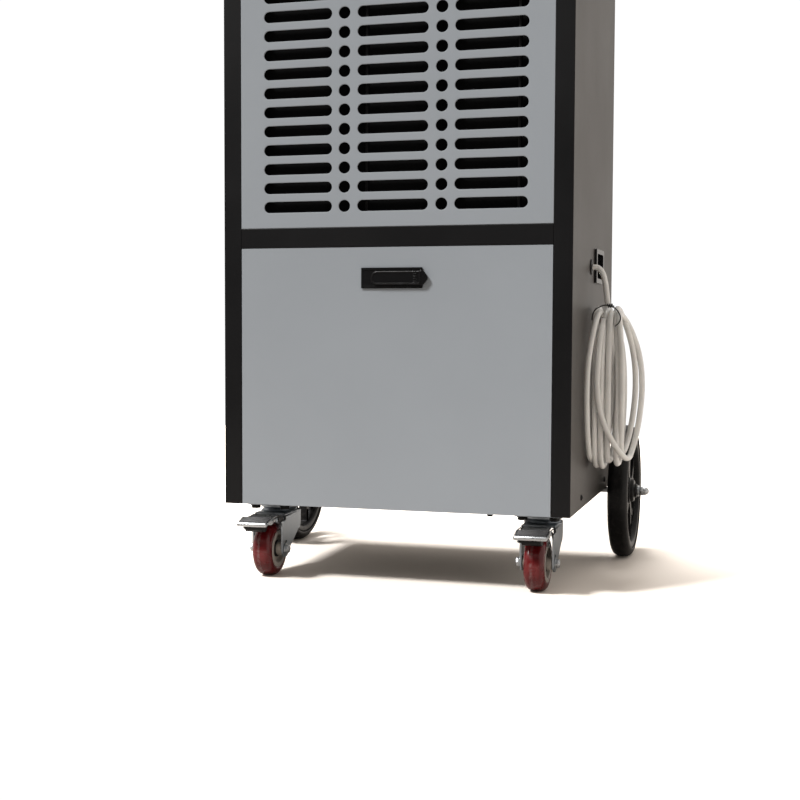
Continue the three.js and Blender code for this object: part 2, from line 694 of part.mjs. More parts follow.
// The hose arcs out of its grommet and hangs as a hank from a tie.
const HOSE_ROUTE = [
  [242.2, 159.5, 433], [248, 159.6, 432.1], [253.2, 159.9, 428.6], [256.8, 160.3, 422], [259.2, 160.9, 412.5],
  [261, 161.7, 401], [262.2, 162.7, 389], [262.8, 163.8, 380],
];
const HANK = { x: 278, y: 158, top: 379.6, bottom: 151, halfX: 34, halfY: 58 };

function hoseTube() {
  return tube(HOSE_ROUTE, HOSE_R, 8, 10);
}

/** Closed outer shape of the hanging loops. */
function hoseHank() {
  const rings = 9;
  const height = HANK.top - HANK.bottom;
  const points = [new THREE.Vector2(0, 0)];
  for (let i = 1; i < rings; i += 1) {
    const t = i / rings;
    points.push(new THREE.Vector2(Math.sin(Math.PI * t ** 0.85) ** 0.6, t * height));
  }
  points.push(new THREE.Vector2(0, height));
  const geometry = new THREE.LatheGeometry(points, 20);
  geometry.rotateX(Math.PI / 2);
  geometry.scale(HANK.halfX, HANK.halfY, 1);
  geometry.translate(HANK.x, HANK.y, HANK.bottom);
  return solid(geometry);
}

/** Band round the top of the loops, just above them. */
function hoseTie() {
  const [x, y, z] = HOSE_ROUTE[HOSE_ROUTE.length - 2];
  const outer = rod('z', z - 2, z + 2, x, y, 7, 20);
  return cut(outer, rod('z', z - 5, z + 5, x, y, 5.2, 20));
}

// ---- assembly -----------------------------------------------------------------------------------
const machine = new THREE.Group();
machine.position.y = -(FOOTPRINT_FRONT + FOOTPRINT_REAR) / 2;

const cabinet = new THREE.Group();
cabinet.add(
  node('base_pan', basePan(), FINISH.blackPaint()),
  node('post_front_left', frontPost(-1), FINISH.blackPaint()),
  node('post_front_right', frontPost(1), FINISH.blackPaint()),
  node('side_panel_left', sidePanel().scale([-1, 1, 1]), FINISH.bronzePaint()),
  node('side_panel_right', sidePanelRight(), FINISH.bronzePaint()),
  node('rear_panel', rearPanel(), FINISH.bronzePaint()),
  node('cross_beam', frontBeam(DOOR_TOP + GAP, BEAM_TOP - GAP), FINISH.blackPaint()),
  node('intake_panel', intakePanel(), FINISH.greyPaint()),
  node('intake_filter', intakeFilter(), FINISH.filterMesh()),
  node('upper_beam', frontBeam(INTAKE_TOP + GAP, SLOPE_FOOT - GAP), FINISH.blackPaint()),
  node('top_cover', topCover(), FINISH.blackPaint()),
  node('push_handle', pushHandle(), FINISH.blackPaint()),
  node('handle_bracket_left', handleBracket(-1), FINISH.blackPlastic()),
  node('handle_bracket_right', handleBracket(1), FINISH.blackPlastic()),
);
machine.add(cabinet);

const fascia = new THREE.Group();
fascia.position.z = SLOPE_FOOT;
fascia.rotation.x = -slopeAngle;
fascia.add(
  node('control_fascia', controlFascia(), FINISH.blackPlastic()),
  node('display', displayUnit(), FINISH.screen()),
);
BUTTON_XS.forEach((x, i) => fascia.add(node(`button_${i + 1}`, pushButton(x), FINISH.whitePlastic())));
machine.add(fascia);

const works = new THREE.Group();
works.add(
  node('mid_shelf', midShelf(), FINISH.aluminium()),
  node('drip_tray', dripTray(), FINISH.blackPlastic()),
  node('tray_float', trayFloat(), FINISH.whitePlastic()),
  node('evaporator_coil', finCoil(34, 50), FINISH.aluminium()),
  node('condenser_coil', finCoil(66, 82), FINISH.aluminium()),
  node('fan_shroud', fanShroud(), FINISH.blackPaint()),
  node('fan_motor', fanMotor(), FINISH.aluminium()),
  node('fan_wheel', fanWheel(), FINISH.blackPlastic()),
  node('compressor', compressor(), FINISH.blackPaint()),
  node('condensate_pump', condensatePump(), FINISH.whitePlastic()),
  node('refrigerant_pipe', refrigerantPipe(), FINISH.copper()),
  node('control_box', controlBox(), FINISH.aluminium()),
  node('drain_hose_inner', innerHose(), FINISH.clearHose()),
);
machine.add(works);

const door = new THREE.Group();
door.add(
  node('door_skin', doorSkin(), FINISH.greyPaint()),
  node('door_liner', doorLiner(), FINISH.aluminium()),
  node('latch_base', latchBase(), FINISH.blackPlastic()),
  node('latch_lever', latchLever(), FINISH.blackPlastic()),
  node('latch_rotor', latchRotor(), FINISH.zinc()),
);
machine.add(door);

for (const [side, sign] of [['left', -1], ['right', 1]]) {
  const x = sign * CASTER_X;
  const caster = new THREE.Group();
  caster.add(
    node(`caster_plate_${side}`, casterPlate(x), FINISH.blackPaint()),
    node(`caster_fork_${side}`, casterFork(x), FINISH.zinc()),
    node(`caster_axle_${side}`, casterAxle(x), FINISH.zinc()),
    node(`caster_core_${side}`, casterCore(x), FINISH.taupePlastic()),
    node(`caster_tyre_${side}`, casterTyre(x), FINISH.redTyre()),
    node(`caster_pedal_${side}`, casterPedal(x), FINISH.zinc()),
  );
  machine.add(caster);
  const wheel = new THREE.Group();
  wheel.add(
    node(`rear_rim_${side}`, rearRim(sign * WHEEL_X), FINISH.blackPlastic()),
    node(`rear_tyre_${side}`, rearTyre(sign * WHEEL_X), FINISH.blackTyre()),
  );
  machine.add(wheel);
}
machine.add(node('rear_axle', rearAxle(), FINISH.zinc()));

const fittings = new THREE.Group();
fittings.add(
  node('mains_inlet', mainsInlet(), FINISH.blackPlastic()),
  node('hose_grommet', hoseGrommet(), FINISH.blackPlastic()),
  node('hose_tube', hoseTube(), FINISH.clearHose()),
  node('hose_hank', hoseHank(), FINISH.clearHose()),
  node('hose_tie', hoseTie(), FINISH.blackPlastic()),
);
machine.add(fittings);

const dehumidifier = new THREE.Group();
dehumidifier.add(machine);
dehumidifier.updateMatrixWorld(true);

export default dehumidifier;
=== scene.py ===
"""Looks of a wheeled commercial dehumidifier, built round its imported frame.

Every size of a piece is in millimetres in the machine's own coordinates: x to the right, y to the
rear with zero on the front face, z up from the floor. Shaper turns them into the frame's metres.
Sizes inside a finish are in metres, as its shader reads them.
"""

import logging
import math
from dataclasses import dataclass, field
from enum import Enum
from typing import Callable, Iterable, Sequence

import bmesh
import bpy
from mathutils import Matrix, Vector


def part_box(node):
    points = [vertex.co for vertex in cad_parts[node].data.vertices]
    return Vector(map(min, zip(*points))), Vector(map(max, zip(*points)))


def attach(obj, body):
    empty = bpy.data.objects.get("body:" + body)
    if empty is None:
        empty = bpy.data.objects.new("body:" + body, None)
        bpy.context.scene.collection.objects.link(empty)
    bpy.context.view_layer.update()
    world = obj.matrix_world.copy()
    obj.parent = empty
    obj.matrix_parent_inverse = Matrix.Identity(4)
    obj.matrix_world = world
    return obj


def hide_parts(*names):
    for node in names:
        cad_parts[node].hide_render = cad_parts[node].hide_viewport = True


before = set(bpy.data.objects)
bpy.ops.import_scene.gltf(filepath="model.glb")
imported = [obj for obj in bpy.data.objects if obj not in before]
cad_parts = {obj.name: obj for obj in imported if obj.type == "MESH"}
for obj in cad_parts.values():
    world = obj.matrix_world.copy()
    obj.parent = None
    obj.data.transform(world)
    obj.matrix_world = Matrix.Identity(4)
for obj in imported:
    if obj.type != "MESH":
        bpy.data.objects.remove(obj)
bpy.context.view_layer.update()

log = logging.getLogger("dehumidifier")

MM = 0.001
FRONT_SHIFT = -219.5  # the frame's y of the machine's front face
Point = tuple[float, float, float]
Pair = tuple[float, float]


class Side(Enum):
    """Left or right half of the machine, seen from the front."""

    LEFT = -1
    RIGHT = 1

    @property
    def word(self) -> str:
        """Name of the side as the frame's nodes spell it."""
        return self.name.lower()


class Axis(Enum):
    """Direction that a rod, prism or turned piece runs along."""

    X = 0
    Y = 1
    Z = 2


@dataclass(frozen=True)
class Span:
    """Box of one or more frame nodes in machine millimetres."""

    low: Vector
    high: Vector

    @classmethod
    def of(cls, *nodes: str) -> "Span":
        """Measures nodes at rest.

        Args:
            nodes: names of the frame's nodes.

        Returns:
            Their common box.
        """
        corners = [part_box(node) for node in nodes]
        low = Vector([min(c[0][i] for c in corners) for i in range(3)]) / MM
        high = Vector([max(c[1][i] for c in corners) for i in range(3)]) / MM
        shift = Vector((0, FRONT_SHIFT, 0))
        return cls(low - shift, high - shift)

    @property
    def centre(self) -> Vector:
        """Middle of the box."""
        return (self.low + self.high) / 2

    @property
    def size(self) -> Vector:
        """Lengths of the three sides."""
        return self.high - self.low


def to_frame(x: float, y: float, z: float) -> Vector:
    """Converts a machine point to the frame's metres."""
    return Vector((x, y + FRONT_SHIFT, z)) * MM


# ---- finishes ------------------------------------------------------------------------------------


class NodeTree:
    """Short hand for wiring shader nodes."""

    def __init__(self, tree: bpy.types.NodeTree) -> None:
        """Wraps a node tree."""
        self.tree = tree

    def add(self, kind: str, **values: object) -> bpy.types.Node:
        """Adds a node.

        Args:
            kind: the node's type name.
            values: properties, or input values with underscores for spaces.

        Returns:
            The new node.
        """
        made = self.tree.nodes.new(kind)
        for key, value in values.items():
            label = key.replace("_", " ")
            socket = next((s for s in made.inputs if s.name.lower() == label.lower()), None)
            if hasattr(made, key) and socket is None:
                setattr(made, key, value)
            else:
                socket.default_value = value
        return made

    def link(self, source: bpy.types.NodeSocket, target: bpy.types.NodeSocket) -> None:
        """Joins two sockets."""
        self.tree.links.new(source, target)

    def math(self, operation: str, first: object, second: object = 0.0,
             clamp: bool = False) -> bpy.types.NodeSocket:
        """Adds a maths node.

        Args:
            operation: Blender's name of the operation.
            first: a socket or a number.
            second: a socket or a number.
            clamp: keeps the result between 0 and 1.

        Returns:
            The result's socket.
        """
        made = self.tree.nodes.new("ShaderNodeMath")
        made.operation = operation
        made.use_clamp = clamp
        for slot, value in zip(made.inputs, (first, second)):
            if isinstance(value, bpy.types.NodeSocket):
                self.link(value, slot)
            else:
                slot.default_value = value
        return made.outputs[0]

    def blend(self, mask: object, low: object, high: object, mode: str = "MIX") -> bpy.types.NodeSocket:
        """Mixes two colours.

        Args:
            mask: a socket or a number, 0 for low and 1 for high.
            low: a socket or an RGB triple.
            high: a socket or an RGB triple.
            mode: Blender's blend type.

        Returns:
            The mixed colour's socket.
        """
        made = self.tree.nodes.new("ShaderNodeMix")
        made.data_type = "RGBA"
        made.blend_type = mode
        for slot, value in zip((made.inputs[0], made.inputs[6], made.inputs[7]), (mask, low, high)):
            if isinstance(value, bpy.types.NodeSocket):
                self.link(value, slot)
            else:
                slot.default_value = value if isinstance(value, float) else (*value, 1.0)
        return made.outputs[2]


class Effect:
    """Node groups that several finishes share, each built once."""

    _made: dict[str, bpy.types.NodeTree] = {}

    @classmethod
    def _group(cls, name: str, inputs: dict[str, float], outputs: dict[str, str],
               wire: Callable[[NodeTree, bpy.types.Node, bpy.types.Node], None]) -> bpy.types.NodeTree:
        """Makes a group the first time it is asked for.

        Args:
            name: the group's name.
            inputs: name and first value of each input.
            outputs: name and socket type of each output.
            wire: fills the group between its input node and its output node.

        Returns:
            The group.
        """
        if name not in cls._made:
            tree = bpy.data.node_groups.new(name, "ShaderNodeTree")
            for label, value in inputs.items():
                socket = tree.interface.new_socket(label, in_out="INPUT", socket_type="NodeSocketFloat")
                socket.default_value = value
            for label, kind in outputs.items():
                tree.interface.new_socket(label, in_out="OUTPUT", socket_type=kind)
            nodes = NodeTree(tree)
            wire(nodes, nodes.add("NodeGroupInput"), nodes.add("NodeGroupOutput"))
            cls._made[name] = tree
        return cls._made[name]

    @classmethod
    def grain(cls) -> bpy.types.NodeTree:
        """Fine pebbled surface of powder coat and moulded plastic, with a cloudy large-scale mask.

        Returns:
            The group.
        """

        def wire(nodes: NodeTree, given: bpy.types.Node, result: bpy.types.Node) -> None:
            """Wires the noise, its bump and the cloud.

            Args:
                nodes: the group's node tree.
                given: its input node.
                result: its output node.
            """
            place = nodes.add("ShaderNodeTexCoord")
            fine = nodes.add("ShaderNodeTexNoise", Detail=3.0, Roughness=0.55)
            nodes.link(place.outputs["Object"], fine.inputs["Vector"])
            nodes.link(given.outputs["Scale"], fine.inputs["Scale"])
            bump = nodes.add("ShaderNodeBump", Distance=0.001)
            nodes.link(given.outputs["Strength"], bump.inputs["Strength"])
            nodes.link(fine.outputs["Fac"], bump.inputs["Height"])
            nodes.link(bump.outputs["Normal"], result.inputs["Normal"])
            cloud = nodes.add("ShaderNodeTexNoise", Detail=4.0, Roughness=0.6)
            nodes.link(place.outputs["Object"], cloud.inputs["Vector"])
            nodes.link(given.outputs["Cloud Scale"], cloud.inputs["Scale"])
            spread = nodes.add("ShaderNodeMapRange", From_Min=0.35, From_Max=0.65)
            nodes.link(cloud.outputs["Fac"], spread.inputs["Value"])
            nodes.link(spread.outputs["Result"], result.inputs["Cloud"])

        return cls._group("surface_grain", {"Scale": 900.0, "Strength": 0.1, "Cloud Scale": 6.0},
                          {"Normal": "NodeSocketVector", "Cloud": "NodeSocketFloat"}, wire)

    @classmethod
    def dust(cls) -> bpy.types.NodeTree:
        """Mask of light dust in specks, which fades out upwards from the floor.

        Returns:
            The group.
        """

        def wire(nodes: NodeTree, given: bpy.types.Node, result: bpy.types.Node) -> None:
            """Wires height and speckle into one mask.

            Args:
                nodes: the group's node tree.
                given: its input node.
                result: its output node.
            """
            place = nodes.add("ShaderNodeTexCoord")
            axes = nodes.add("ShaderNodeSeparateXYZ")
            nodes.link(place.outputs["Object"], axes.inputs[0])
            low = nodes.add("ShaderNodeMapRange", From_Min=0.0, From_Max=0.2, To_Min=1.0, To_Max=0.0)
            nodes.link(axes.outputs["Z"], low.inputs["Value"])
            speckle = nodes.add("ShaderNodeTexNoise", Scale=140.0, Detail=6.0, Roughness=0.7)
            nodes.link(place.outputs["Object"], speckle.inputs["Vector"])
            spots = nodes.add("ShaderNodeMapRange", From_Min=0.5, From_Max=0.72)
            nodes.link(speckle.outputs["Fac"], spots.inputs["Value"])
            mixed = nodes.math("MULTIPLY", low.outputs["Result"], spots.outputs["Result"])
            mask = nodes.math("MULTIPLY", mixed, given.outputs["Amount"], clamp=True)
            nodes.link(mask, result.inputs["Mask"])

        return cls._group("settled_dust", {"Amount": 0.3}, {"Mask": "NodeSocketFloat"}, wire)


COAT_ROUGHNESS = 0.12
DUST_COLOUR = (0.32, 0.29, 0.26)


@dataclass(frozen=True)
class Finish:
    """A coated or moulded surface with grain, slight clouding and a little dust.

    Attributes:
        name: the material's name.
        slot: the record's material slot; not used here.
        colour: linear base colour.
        roughness: middle roughness.
        metallic: 1 for bare metal.
        coat: weight of a clear coat.
        grain_scale: cells of the grain per metre.
        grain_strength: depth of the grain.
        cloud_scale: cells of the clouding per metre.
        clouding: how far the tone drifts over the surface.
        dust: how much dust lies near the floor.
        sheen_spread: how far the roughness drifts.
        specular: level of the surface reflection.
    """

    name: str
    slot: str
    colour: tuple[float, float, float]
    roughness: float = 0.45
    metallic: float = 0.0
    coat: float = 0.0
    grain_scale: float = 900.0
    grain_strength: float = 0.08
    cloud_scale: float = 5.0
    clouding: float = 0.06
    dust: float = 0.0
    sheen_spread: float = 0.06
    specular: float = 0.5

    def build(self) -> bpy.types.Material:
        """Makes the material the first time it is asked for.

        Returns:
            The material.
        """
        known = bpy.data.materials.get(self.name)
        if known:
            return known
        made = bpy.data.materials.new(self.name)
        made.use_nodes = True
        nodes = NodeTree(made.node_tree)
        shader = made.node_tree.nodes["Principled BSDF"]
        shader.inputs["Metallic"].default_value = self.metallic
        shader.inputs["Coat Weight"].default_value = self.coat
        shader.inputs["Coat Roughness"].default_value = COAT_ROUGHNESS
        shader.inputs["Specular IOR Level"].default_value = self.specular
        colour, roughness, normal = self.surface(nodes)
        nodes.link(colour, shader.inputs["Base Color"])
        nodes.link(roughness, shader.inputs["Roughness"])
        nodes.link(normal, shader.inputs["Normal"])
        self.extra(nodes, shader)
        return made

    def surface(self, nodes: NodeTree) -> tuple:
        """Wires the base colour, roughness and normal.

        Args:
            nodes: the material's node tree.

        Returns:
            Sockets of colour, roughness and normal.
        """
        grain = nodes.add("ShaderNodeGroup")
        grain.node_tree = Effect.grain()
        grain.inputs["Scale"].default_value = self.grain_scale
        grain.inputs["Strength"].default_value = self.grain_strength
        grain.inputs["Cloud Scale"].default_value = self.cloud_scale
        darker = tuple(c * (1 - self.clouding) for c in self.colour)
        lighter = tuple(min(1.0, c * (1 + self.clouding)) for c in self.colour)
        colour = nodes.blend(grain.outputs["Cloud"], darker, lighter)
        if self.dust:
            dust = nodes.add("ShaderNodeGroup")
            dust.node_tree = Effect.dust()
            dust.inputs["Amount"].default_value = self.dust
            colour = nodes.blend(dust.outputs["Mask"], colour, DUST_COLOUR)
        drift = nodes.math("MULTIPLY_ADD", grain.outputs["Cloud"], self.sheen_spread)
        drift.node.inputs[2].default_value = self.roughness - self.sheen_spread / 2
        return colour, drift, grain.outputs["Normal"]

    def extra(self, nodes: NodeTree, shader: bpy.types.Node) -> None:
        """Adds what a special finish needs. A plain one needs nothing.

        Args:
            nodes: the material's node tree.
            shader: its Principled shader.
        """


@dataclass(frozen=True)
class ZincFinish(Finish):
    """Bright zinc plate with faint drawn lines and a patchy sheen.

    Attributes:
        grain_of_lines: cells of the lines per metre along each axis.
        line_tone: tone of a line next to the plate's.
        line_share: how strongly the lines show.
        line_rough: how much rougher the plate is between them.
    """

    grain_of_lines: Point = (260.0, 260.0, 18.0)
    line_tone: float = 0.72
    line_share: float = 0.55
    line_rough: float = 0.14

    def surface(self, nodes: NodeTree) -> tuple:
        """Adds stretched streaks to the plain surface.

        Args:
            nodes: the material's node tree.

        Returns:
            Sockets of colour, roughness and normal.
        """
        colour, roughness, normal = super().surface(nodes)
        place = nodes.add("ShaderNodeTexCoord")
        stretch = nodes.add("ShaderNodeMapping", Scale=self.grain_of_lines)
        nodes.link(place.outputs["Object"], stretch.inputs["Vector"])
        streak = nodes.add("ShaderNodeTexNoise", Scale=1.0, Detail=5.0, Roughness=0.6)
        nodes.link(stretch.outputs["Vector"], streak.inputs["Vector"])
        lines = nodes.add("ShaderNodeMapRange", From_Min=0.3, From_Max=0.7)
        nodes.link(streak.outputs["Fac"], lines.inputs["Value"])
        dull = tuple(c * self.line_tone for c in self.colour)
        toned = nodes.blend(lines.outputs["Result"], dull, self.colour)
        mixed = nodes.blend(self.line_share, colour, toned)
        rough = nodes.math("MULTIPLY_ADD", lines.outputs["Result"], self.line_rough)
        nodes.link(roughness, rough.node.inputs[2])
        return mixed, rough, normal


@dataclass(frozen=True)
class TyreFinish(Finish):
    """Tyre compound with a lighter speckled band round the tread, partly scuff wear and partly a painted
    highlight.

    Attributes:
        middle: x of the wheel's middle plane in metres.
        band: half width of the band of scuffs and painted highlight in metres.
        scuff_and_highlight: colour of the scuffs and of the painted highlight.
        wear_and_highlight: how strongly the band shows.
    """

    middle: float = 0.0
    band: float = 0.005
    scuff_and_highlight: tuple[float, float, float] = (0.25, 0.2, 0.19)
    wear_and_highlight: float = 0.4

    def surface(self, nodes: NodeTree) -> tuple:
        """Adds the band of scuffs and painted highlight to the plain surface.

        Args:
            nodes: the material's node tree.

        Returns:
            Sockets of colour, roughness and normal.
        """
        colour, roughness, normal = super().surface(nodes)
        place = nodes.add("ShaderNodeTexCoord")
        axes = nodes.add("ShaderNodeSeparateXYZ")
        nodes.link(place.outputs["Object"], axes.inputs[0])
        off = nodes.math("ABSOLUTE", nodes.math("SUBTRACT", axes.outputs["X"], self.middle))
        near = nodes.add("ShaderNodeMapRange", From_Min=self.band, From_Max=self.band * 0.2)
        nodes.link(off, near.inputs["Value"])
        speckle = nodes.add("ShaderNodeTexNoise", Scale=260.0, Detail=7.0, Roughness=0.75)
        nodes.link(place.outputs["Object"], speckle.inputs["Vector"])
        spots = nodes.add("ShaderNodeMapRange", From_Min=0.42, From_Max=0.62)
        nodes.link(speckle.outputs["Fac"], spots.inputs["Value"])
        mask = nodes.math("MULTIPLY", near.outputs["Result"], spots.outputs["Result"])
        mask = nodes.math("MULTIPLY", mask, self.wear_and_highlight, clamp=True)
        # Light speckles in the band: partly scuff wear, partly a painted highlight.
        worn_and_highlit = nodes.blend(mask, colour, self.scuff_and_highlight)
        rough = nodes.math("MULTIPLY_ADD", mask, 0.5)
        nodes.link(roughness, rough.node.inputs[2])
        return worn_and_highlit, rough, normal


@dataclass(frozen=True)
class VinylFinish(Finish):
    """Soft clear vinyl hose: milky, with light inside it.

    Attributes:
        clearness: share of the light that goes through.
        milkiness: share of the light that scatters inside.
        reach: how far red, green and blue scatter, in metres.
        ior: index of refraction.
    """

    clearness: float = 0.12
    milkiness: float = 0.1
    reach: Point = (0.004, 0.0035, 0.003)
    ior: float = 1.46

    def extra(self, nodes: NodeTree, shader: bpy.types.Node) -> None:
        """Lets light into and through the wall of the hose.

        Args:
            nodes: the material's node tree.
            shader: its Principled shader.
        """
        shader.inputs["Transmission Weight"].default_value = self.clearness
        shader.inputs["Subsurface Weight"].default_value = self.milkiness
        shader.inputs["Subsurface Radius"].default_value = self.reach
        shader.inputs["Subsurface Scale"].default_value = 1.0
        shader.inputs["IOR"].default_value = self.ior


@dataclass(frozen=True)
class WovenFinish(Finish):
    """Fine woven filter mesh, from two crossed sets of thread, with painted shade in the gaps.

    Attributes:
        pitch: metres from one thread to the next.
        painted_gap_shade: tone of the painted shade in the gaps, next to the thread's.
    """

    pitch: float = 0.0016
    painted_gap_shade: float = 0.3

    def surface(self, nodes: NodeTree) -> tuple:
        """Wires the weave into colour and bump; the gaps get painted shade.

        Args:
            nodes: the material's node tree.

        Returns:
            Sockets of colour, roughness and normal.
        """
        colour, roughness, _ = super().surface(nodes)
        place = nodes.add("ShaderNodeTexCoord")
        turns = 2 * math.pi / self.pitch
        axes = nodes.add("ShaderNodeSeparateXYZ")
        nodes.link(place.outputs["Object"], axes.inputs[0])
        waves = [nodes.math("SINE", nodes.math("MULTIPLY", axes.outputs[i], turns)) for i in ("X", "Z")]
        height = nodes.math("MAXIMUM", *waves)
        bump = nodes.add("ShaderNodeBump", Strength=0.7, Distance=0.0005)
        nodes.link(height, bump.inputs["Height"])
        thread = nodes.math("MULTIPLY_ADD", height, 0.5)
        thread.node.inputs[2].default_value = 0.5
        # Painted shade: the gaps between the threads are darkened.
        toned = nodes.blend(thread, tuple(c * self.painted_gap_shade for c in self.colour), colour)
        return toned, roughness, bump.outputs["Normal"]


@dataclass(frozen=True)
class FinFinish(Finish):
    """Stacked aluminium fins, drawn as fine upright lines with painted shade between them.

    Attributes:
        pitch: metres from one fin to the next.
        painted_gap_shade: tone of the painted shade between the fins, next to the fins'.
    """

    pitch: float = 0.0022
    painted_gap_shade: float = 0.25

    def surface(self, nodes: NodeTree) -> tuple:
        """Wires the fins into colour and bump; the gaps between them get painted shade.

        Args:
            nodes: the material's node tree.

        Returns:
            Sockets of colour, roughness and normal.
        """
        colour, roughness, _ = super().surface(nodes)
        place = nodes.add("ShaderNodeTexCoord")
        axes = nodes.add("ShaderNodeSeparateXYZ")
        nodes.link(place.outputs["Object"], axes.inputs[0])
        wave = nodes.math("SINE", nodes.math("MULTIPLY", axes.outputs["X"], 2 * math.pi / self.pitch))
        bump = nodes.add("ShaderNodeBump", Strength=0.9, Distance=0.0008)
        nodes.link(wave, bump.inputs["Height"])
        fin = nodes.math("MULTIPLY_ADD", wave, 0.5)
        fin.node.inputs[2].default_value = 0.5
        # Painted shade: the gaps between the fins are darkened.
        toned = nodes.blend(fin, tuple(c * self.painted_gap_shade for c in self.colour), colour)
        return toned, roughness, bump.outputs["Normal"]


GREY_PAINT = Finish("grey_powder_coat", "grey_paint", (0.26, 0.282, 0.3065), 0.42, specular=0.35,
                    grain_scale=1500.0, grain_strength=0.05, clouding=0.02, cloud_scale=3.0)
BLACK_PAINT = Finish("black_powder_coat", "black_paint", (0.003, 0.003, 0.0035), 0.42, specular=0.24,
                     grain_scale=1500.0, grain_strength=0.1, clouding=0.1)
GLOSSY_PLASTIC = Finish("gloss_black_moulding", "black_plastic", (0.008, 0.008, 0.009), 0.22,
                        grain_scale=2200.0, grain_strength=0.05, clouding=0.12)
LATCH_PLASTIC = Finish("latch_moulding", "black_plastic", (0.0025, 0.0025, 0.003), 0.27, specular=0.36,
                       grain_scale=2200.0, grain_strength=0.12, clouding=0.12)
TREAD_PLASTIC = Finish("pedal_tread_moulding", "black_plastic", (0.014, 0.014, 0.016), 0.4,
                       grain_scale=1500.0, grain_strength=0.15, clouding=0.15, dust=0.2)
BRONZE_PAINT = Finish("bronze_satin_paint", "bronze_paint", (0.058, 0.053, 0.049), 0.42, specular=0.25,
                      grain_scale=1400.0, grain_strength=0.08, clouding=0.06, cloud_scale=4.0)
BLACK_PLASTIC = Finish("black_moulding", "black_plastic", (0.005, 0.005, 0.0055), 0.4, specular=0.2,
                       grain_scale=2200.0, grain_strength=0.15, clouding=0.12)
RIM_PLASTIC = Finish("black_wheel_moulding", "black_plastic", (0.003, 0.003, 0.0035), 0.34, specular=0.25,
                     grain_scale=1800.0, grain_strength=0.15, clouding=0.15, dust=0.08)
ZINC = ZincFinish("bright_zinc", "zinc_plate", (0.55, 0.57, 0.59), 0.24, metallic=1.0,
                  grain_scale=1200.0, grain_strength=0.12, clouding=0.08, cloud_scale=30.0)
# Darker copy of the bright zinc for the caster forks and plates: its lower base colour is a painted dark
# reflection.
DARK_REFLECTION_ZINC = ZincFinish("zinc_painted_dark_reflection", "zinc_plate", (0.34, 0.375, 0.41), 0.28, metallic=1.0,
                       grain_scale=1200.0, grain_strength=0.12, clouding=0.1, cloud_scale=30.0)
GALVANISED = ZincFinish("galvanised", "galvanised_sheet", (0.5, 0.51, 0.52), 0.4, metallic=1.0,
                        grain_scale=300.0, grain_strength=0.15, clouding=0.1, cloud_scale=40.0)
MOTOR_CASE = Finish("motor_casting", "motor_case", (0.4, 0.41, 0.42), 0.45, metallic=0.9,
                    grain_scale=700.0, grain_strength=0.3)
ENAMEL = Finish("compressor_enamel", "compressor_paint", (0.014, 0.014, 0.015), 0.25, coat=0.6,
                grain_scale=400.0, grain_strength=0.1)
COPPER = ZincFinish("drawn_copper", "copper", (0.72, 0.36, 0.22), 0.3, metallic=1.0, cloud_scale=25.0)
WHITE_PLASTIC = Finish("white_moulding", "white_plastic", (0.68, 0.68, 0.66), 0.45, grain_strength=0.05)
TAUPE_PLASTIC = Finish("taupe_moulding", "taupe_plastic", (0.36, 0.325, 0.29), 0.36,
                       grain_scale=1600.0, grain_strength=0.12, clouding=0.1, cloud_scale=40.0, dust=0.3)
VINYL = VinylFinish("milky_vinyl", "hose_vinyl", (0.86, 0.85, 0.825), 0.18,
                    grain_scale=300.0, grain_strength=0.04, clouding=0.05, cloud_scale=25.0)
FILTER_MESH = WovenFinish("filter_weave", "filter_mesh", (0.006, 0.006, 0.0065), 0.75, specular=0.05)
SCREEN = Finish("dark_window", "screen", (0.006, 0.009, 0.012), 0.08, coat=1.0, grain_strength=0.0)
FINS = FinFinish("plain_fins", "aluminium_fin", (0.6, 0.61, 0.62), 0.35, metallic=1.0)
TIE_WIRE = Finish("tie_wire_coating", "black_plastic", (0.01, 0.01, 0.01), 0.35, grain_strength=0.05)
BLACK_RUBBER = TyreFinish("black_tread_rubber", "black_tyre", (0.0035, 0.0035, 0.004), 0.4, specular=0.22,
                          grain_scale=900.0, grain_strength=0.2, clouding=0.15, cloud_scale=20.0, dust=0.08,
                          band=0.006, scuff_and_highlight=(0.03, 0.028, 0.026), wear_and_highlight=0.25)


# ---- shaping -------------------------------------------------------------------------------------


def rounded_outline(half_w: float, half_h: float, radius: float, steps: int = 6) -> list[Pair]:
    """Outline of a rectangle with round corners, about the origin.

    Args:
        half_w: half the width.
        half_h: half the height.
        radius: corner radius.
        steps: flats in each corner.

    Returns:
        Points in order.
    """
    points = []
    for corner, (sx, sy) in enumerate(((1, 1), (-1, 1), (-1, -1), (1, -1))):
        for i in range(steps + 1):
            turn = (corner + i / steps) * math.pi / 2
            points.append((sx * (half_w - radius) + radius * math.cos(turn),
                           sy * (half_h - radius) + radius * math.sin(turn)))
    return points


def arc(centre: Pair, radius: float, start: float, stop: float, steps: int = 10) -> list[Pair]:
    """Points along an arc.

    Args:
        centre: the arc's centre.
        radius: its radius.
        start: first angle in degrees.
        stop: last angle in degrees.
        steps: flats along it.

    Returns:
        Points in order, both ends included.
    """
    turns = [math.radians(start + (stop - start) * i / steps) for i in range(steps + 1)]
    return [(centre[0] + radius * math.cos(t), centre[1] + radius * math.sin(t)) for t in turns]


def polar(radius: float, turn: float) -> Pair:
    """Point at a radius and an angle in degrees about the origin."""
    return (radius * math.cos(math.radians(turn)), radius * math.sin(math.radians(turn)))


def rolled(reach: float) -> list[Pair]:
    """Steps of a rolled edge, from the face inwards.

    Args:
        reach: radius of the roll.

    Returns:
        How far each step stands off the edge and how deep it is.
    """
    turns = [i / 3 * math.pi / 2 for i in range(4)]
    return [(reach * (1 - math.sin(turn)), reach * (1 - math.cos(turn))) for turn in turns]


def both_sides(half: Sequence[Pair]) -> list[Pair]:
    """Closes a wheel's profile with the mirror image of its first half."""
    return [*half, *((r, -s) for r, s in reversed(half))]


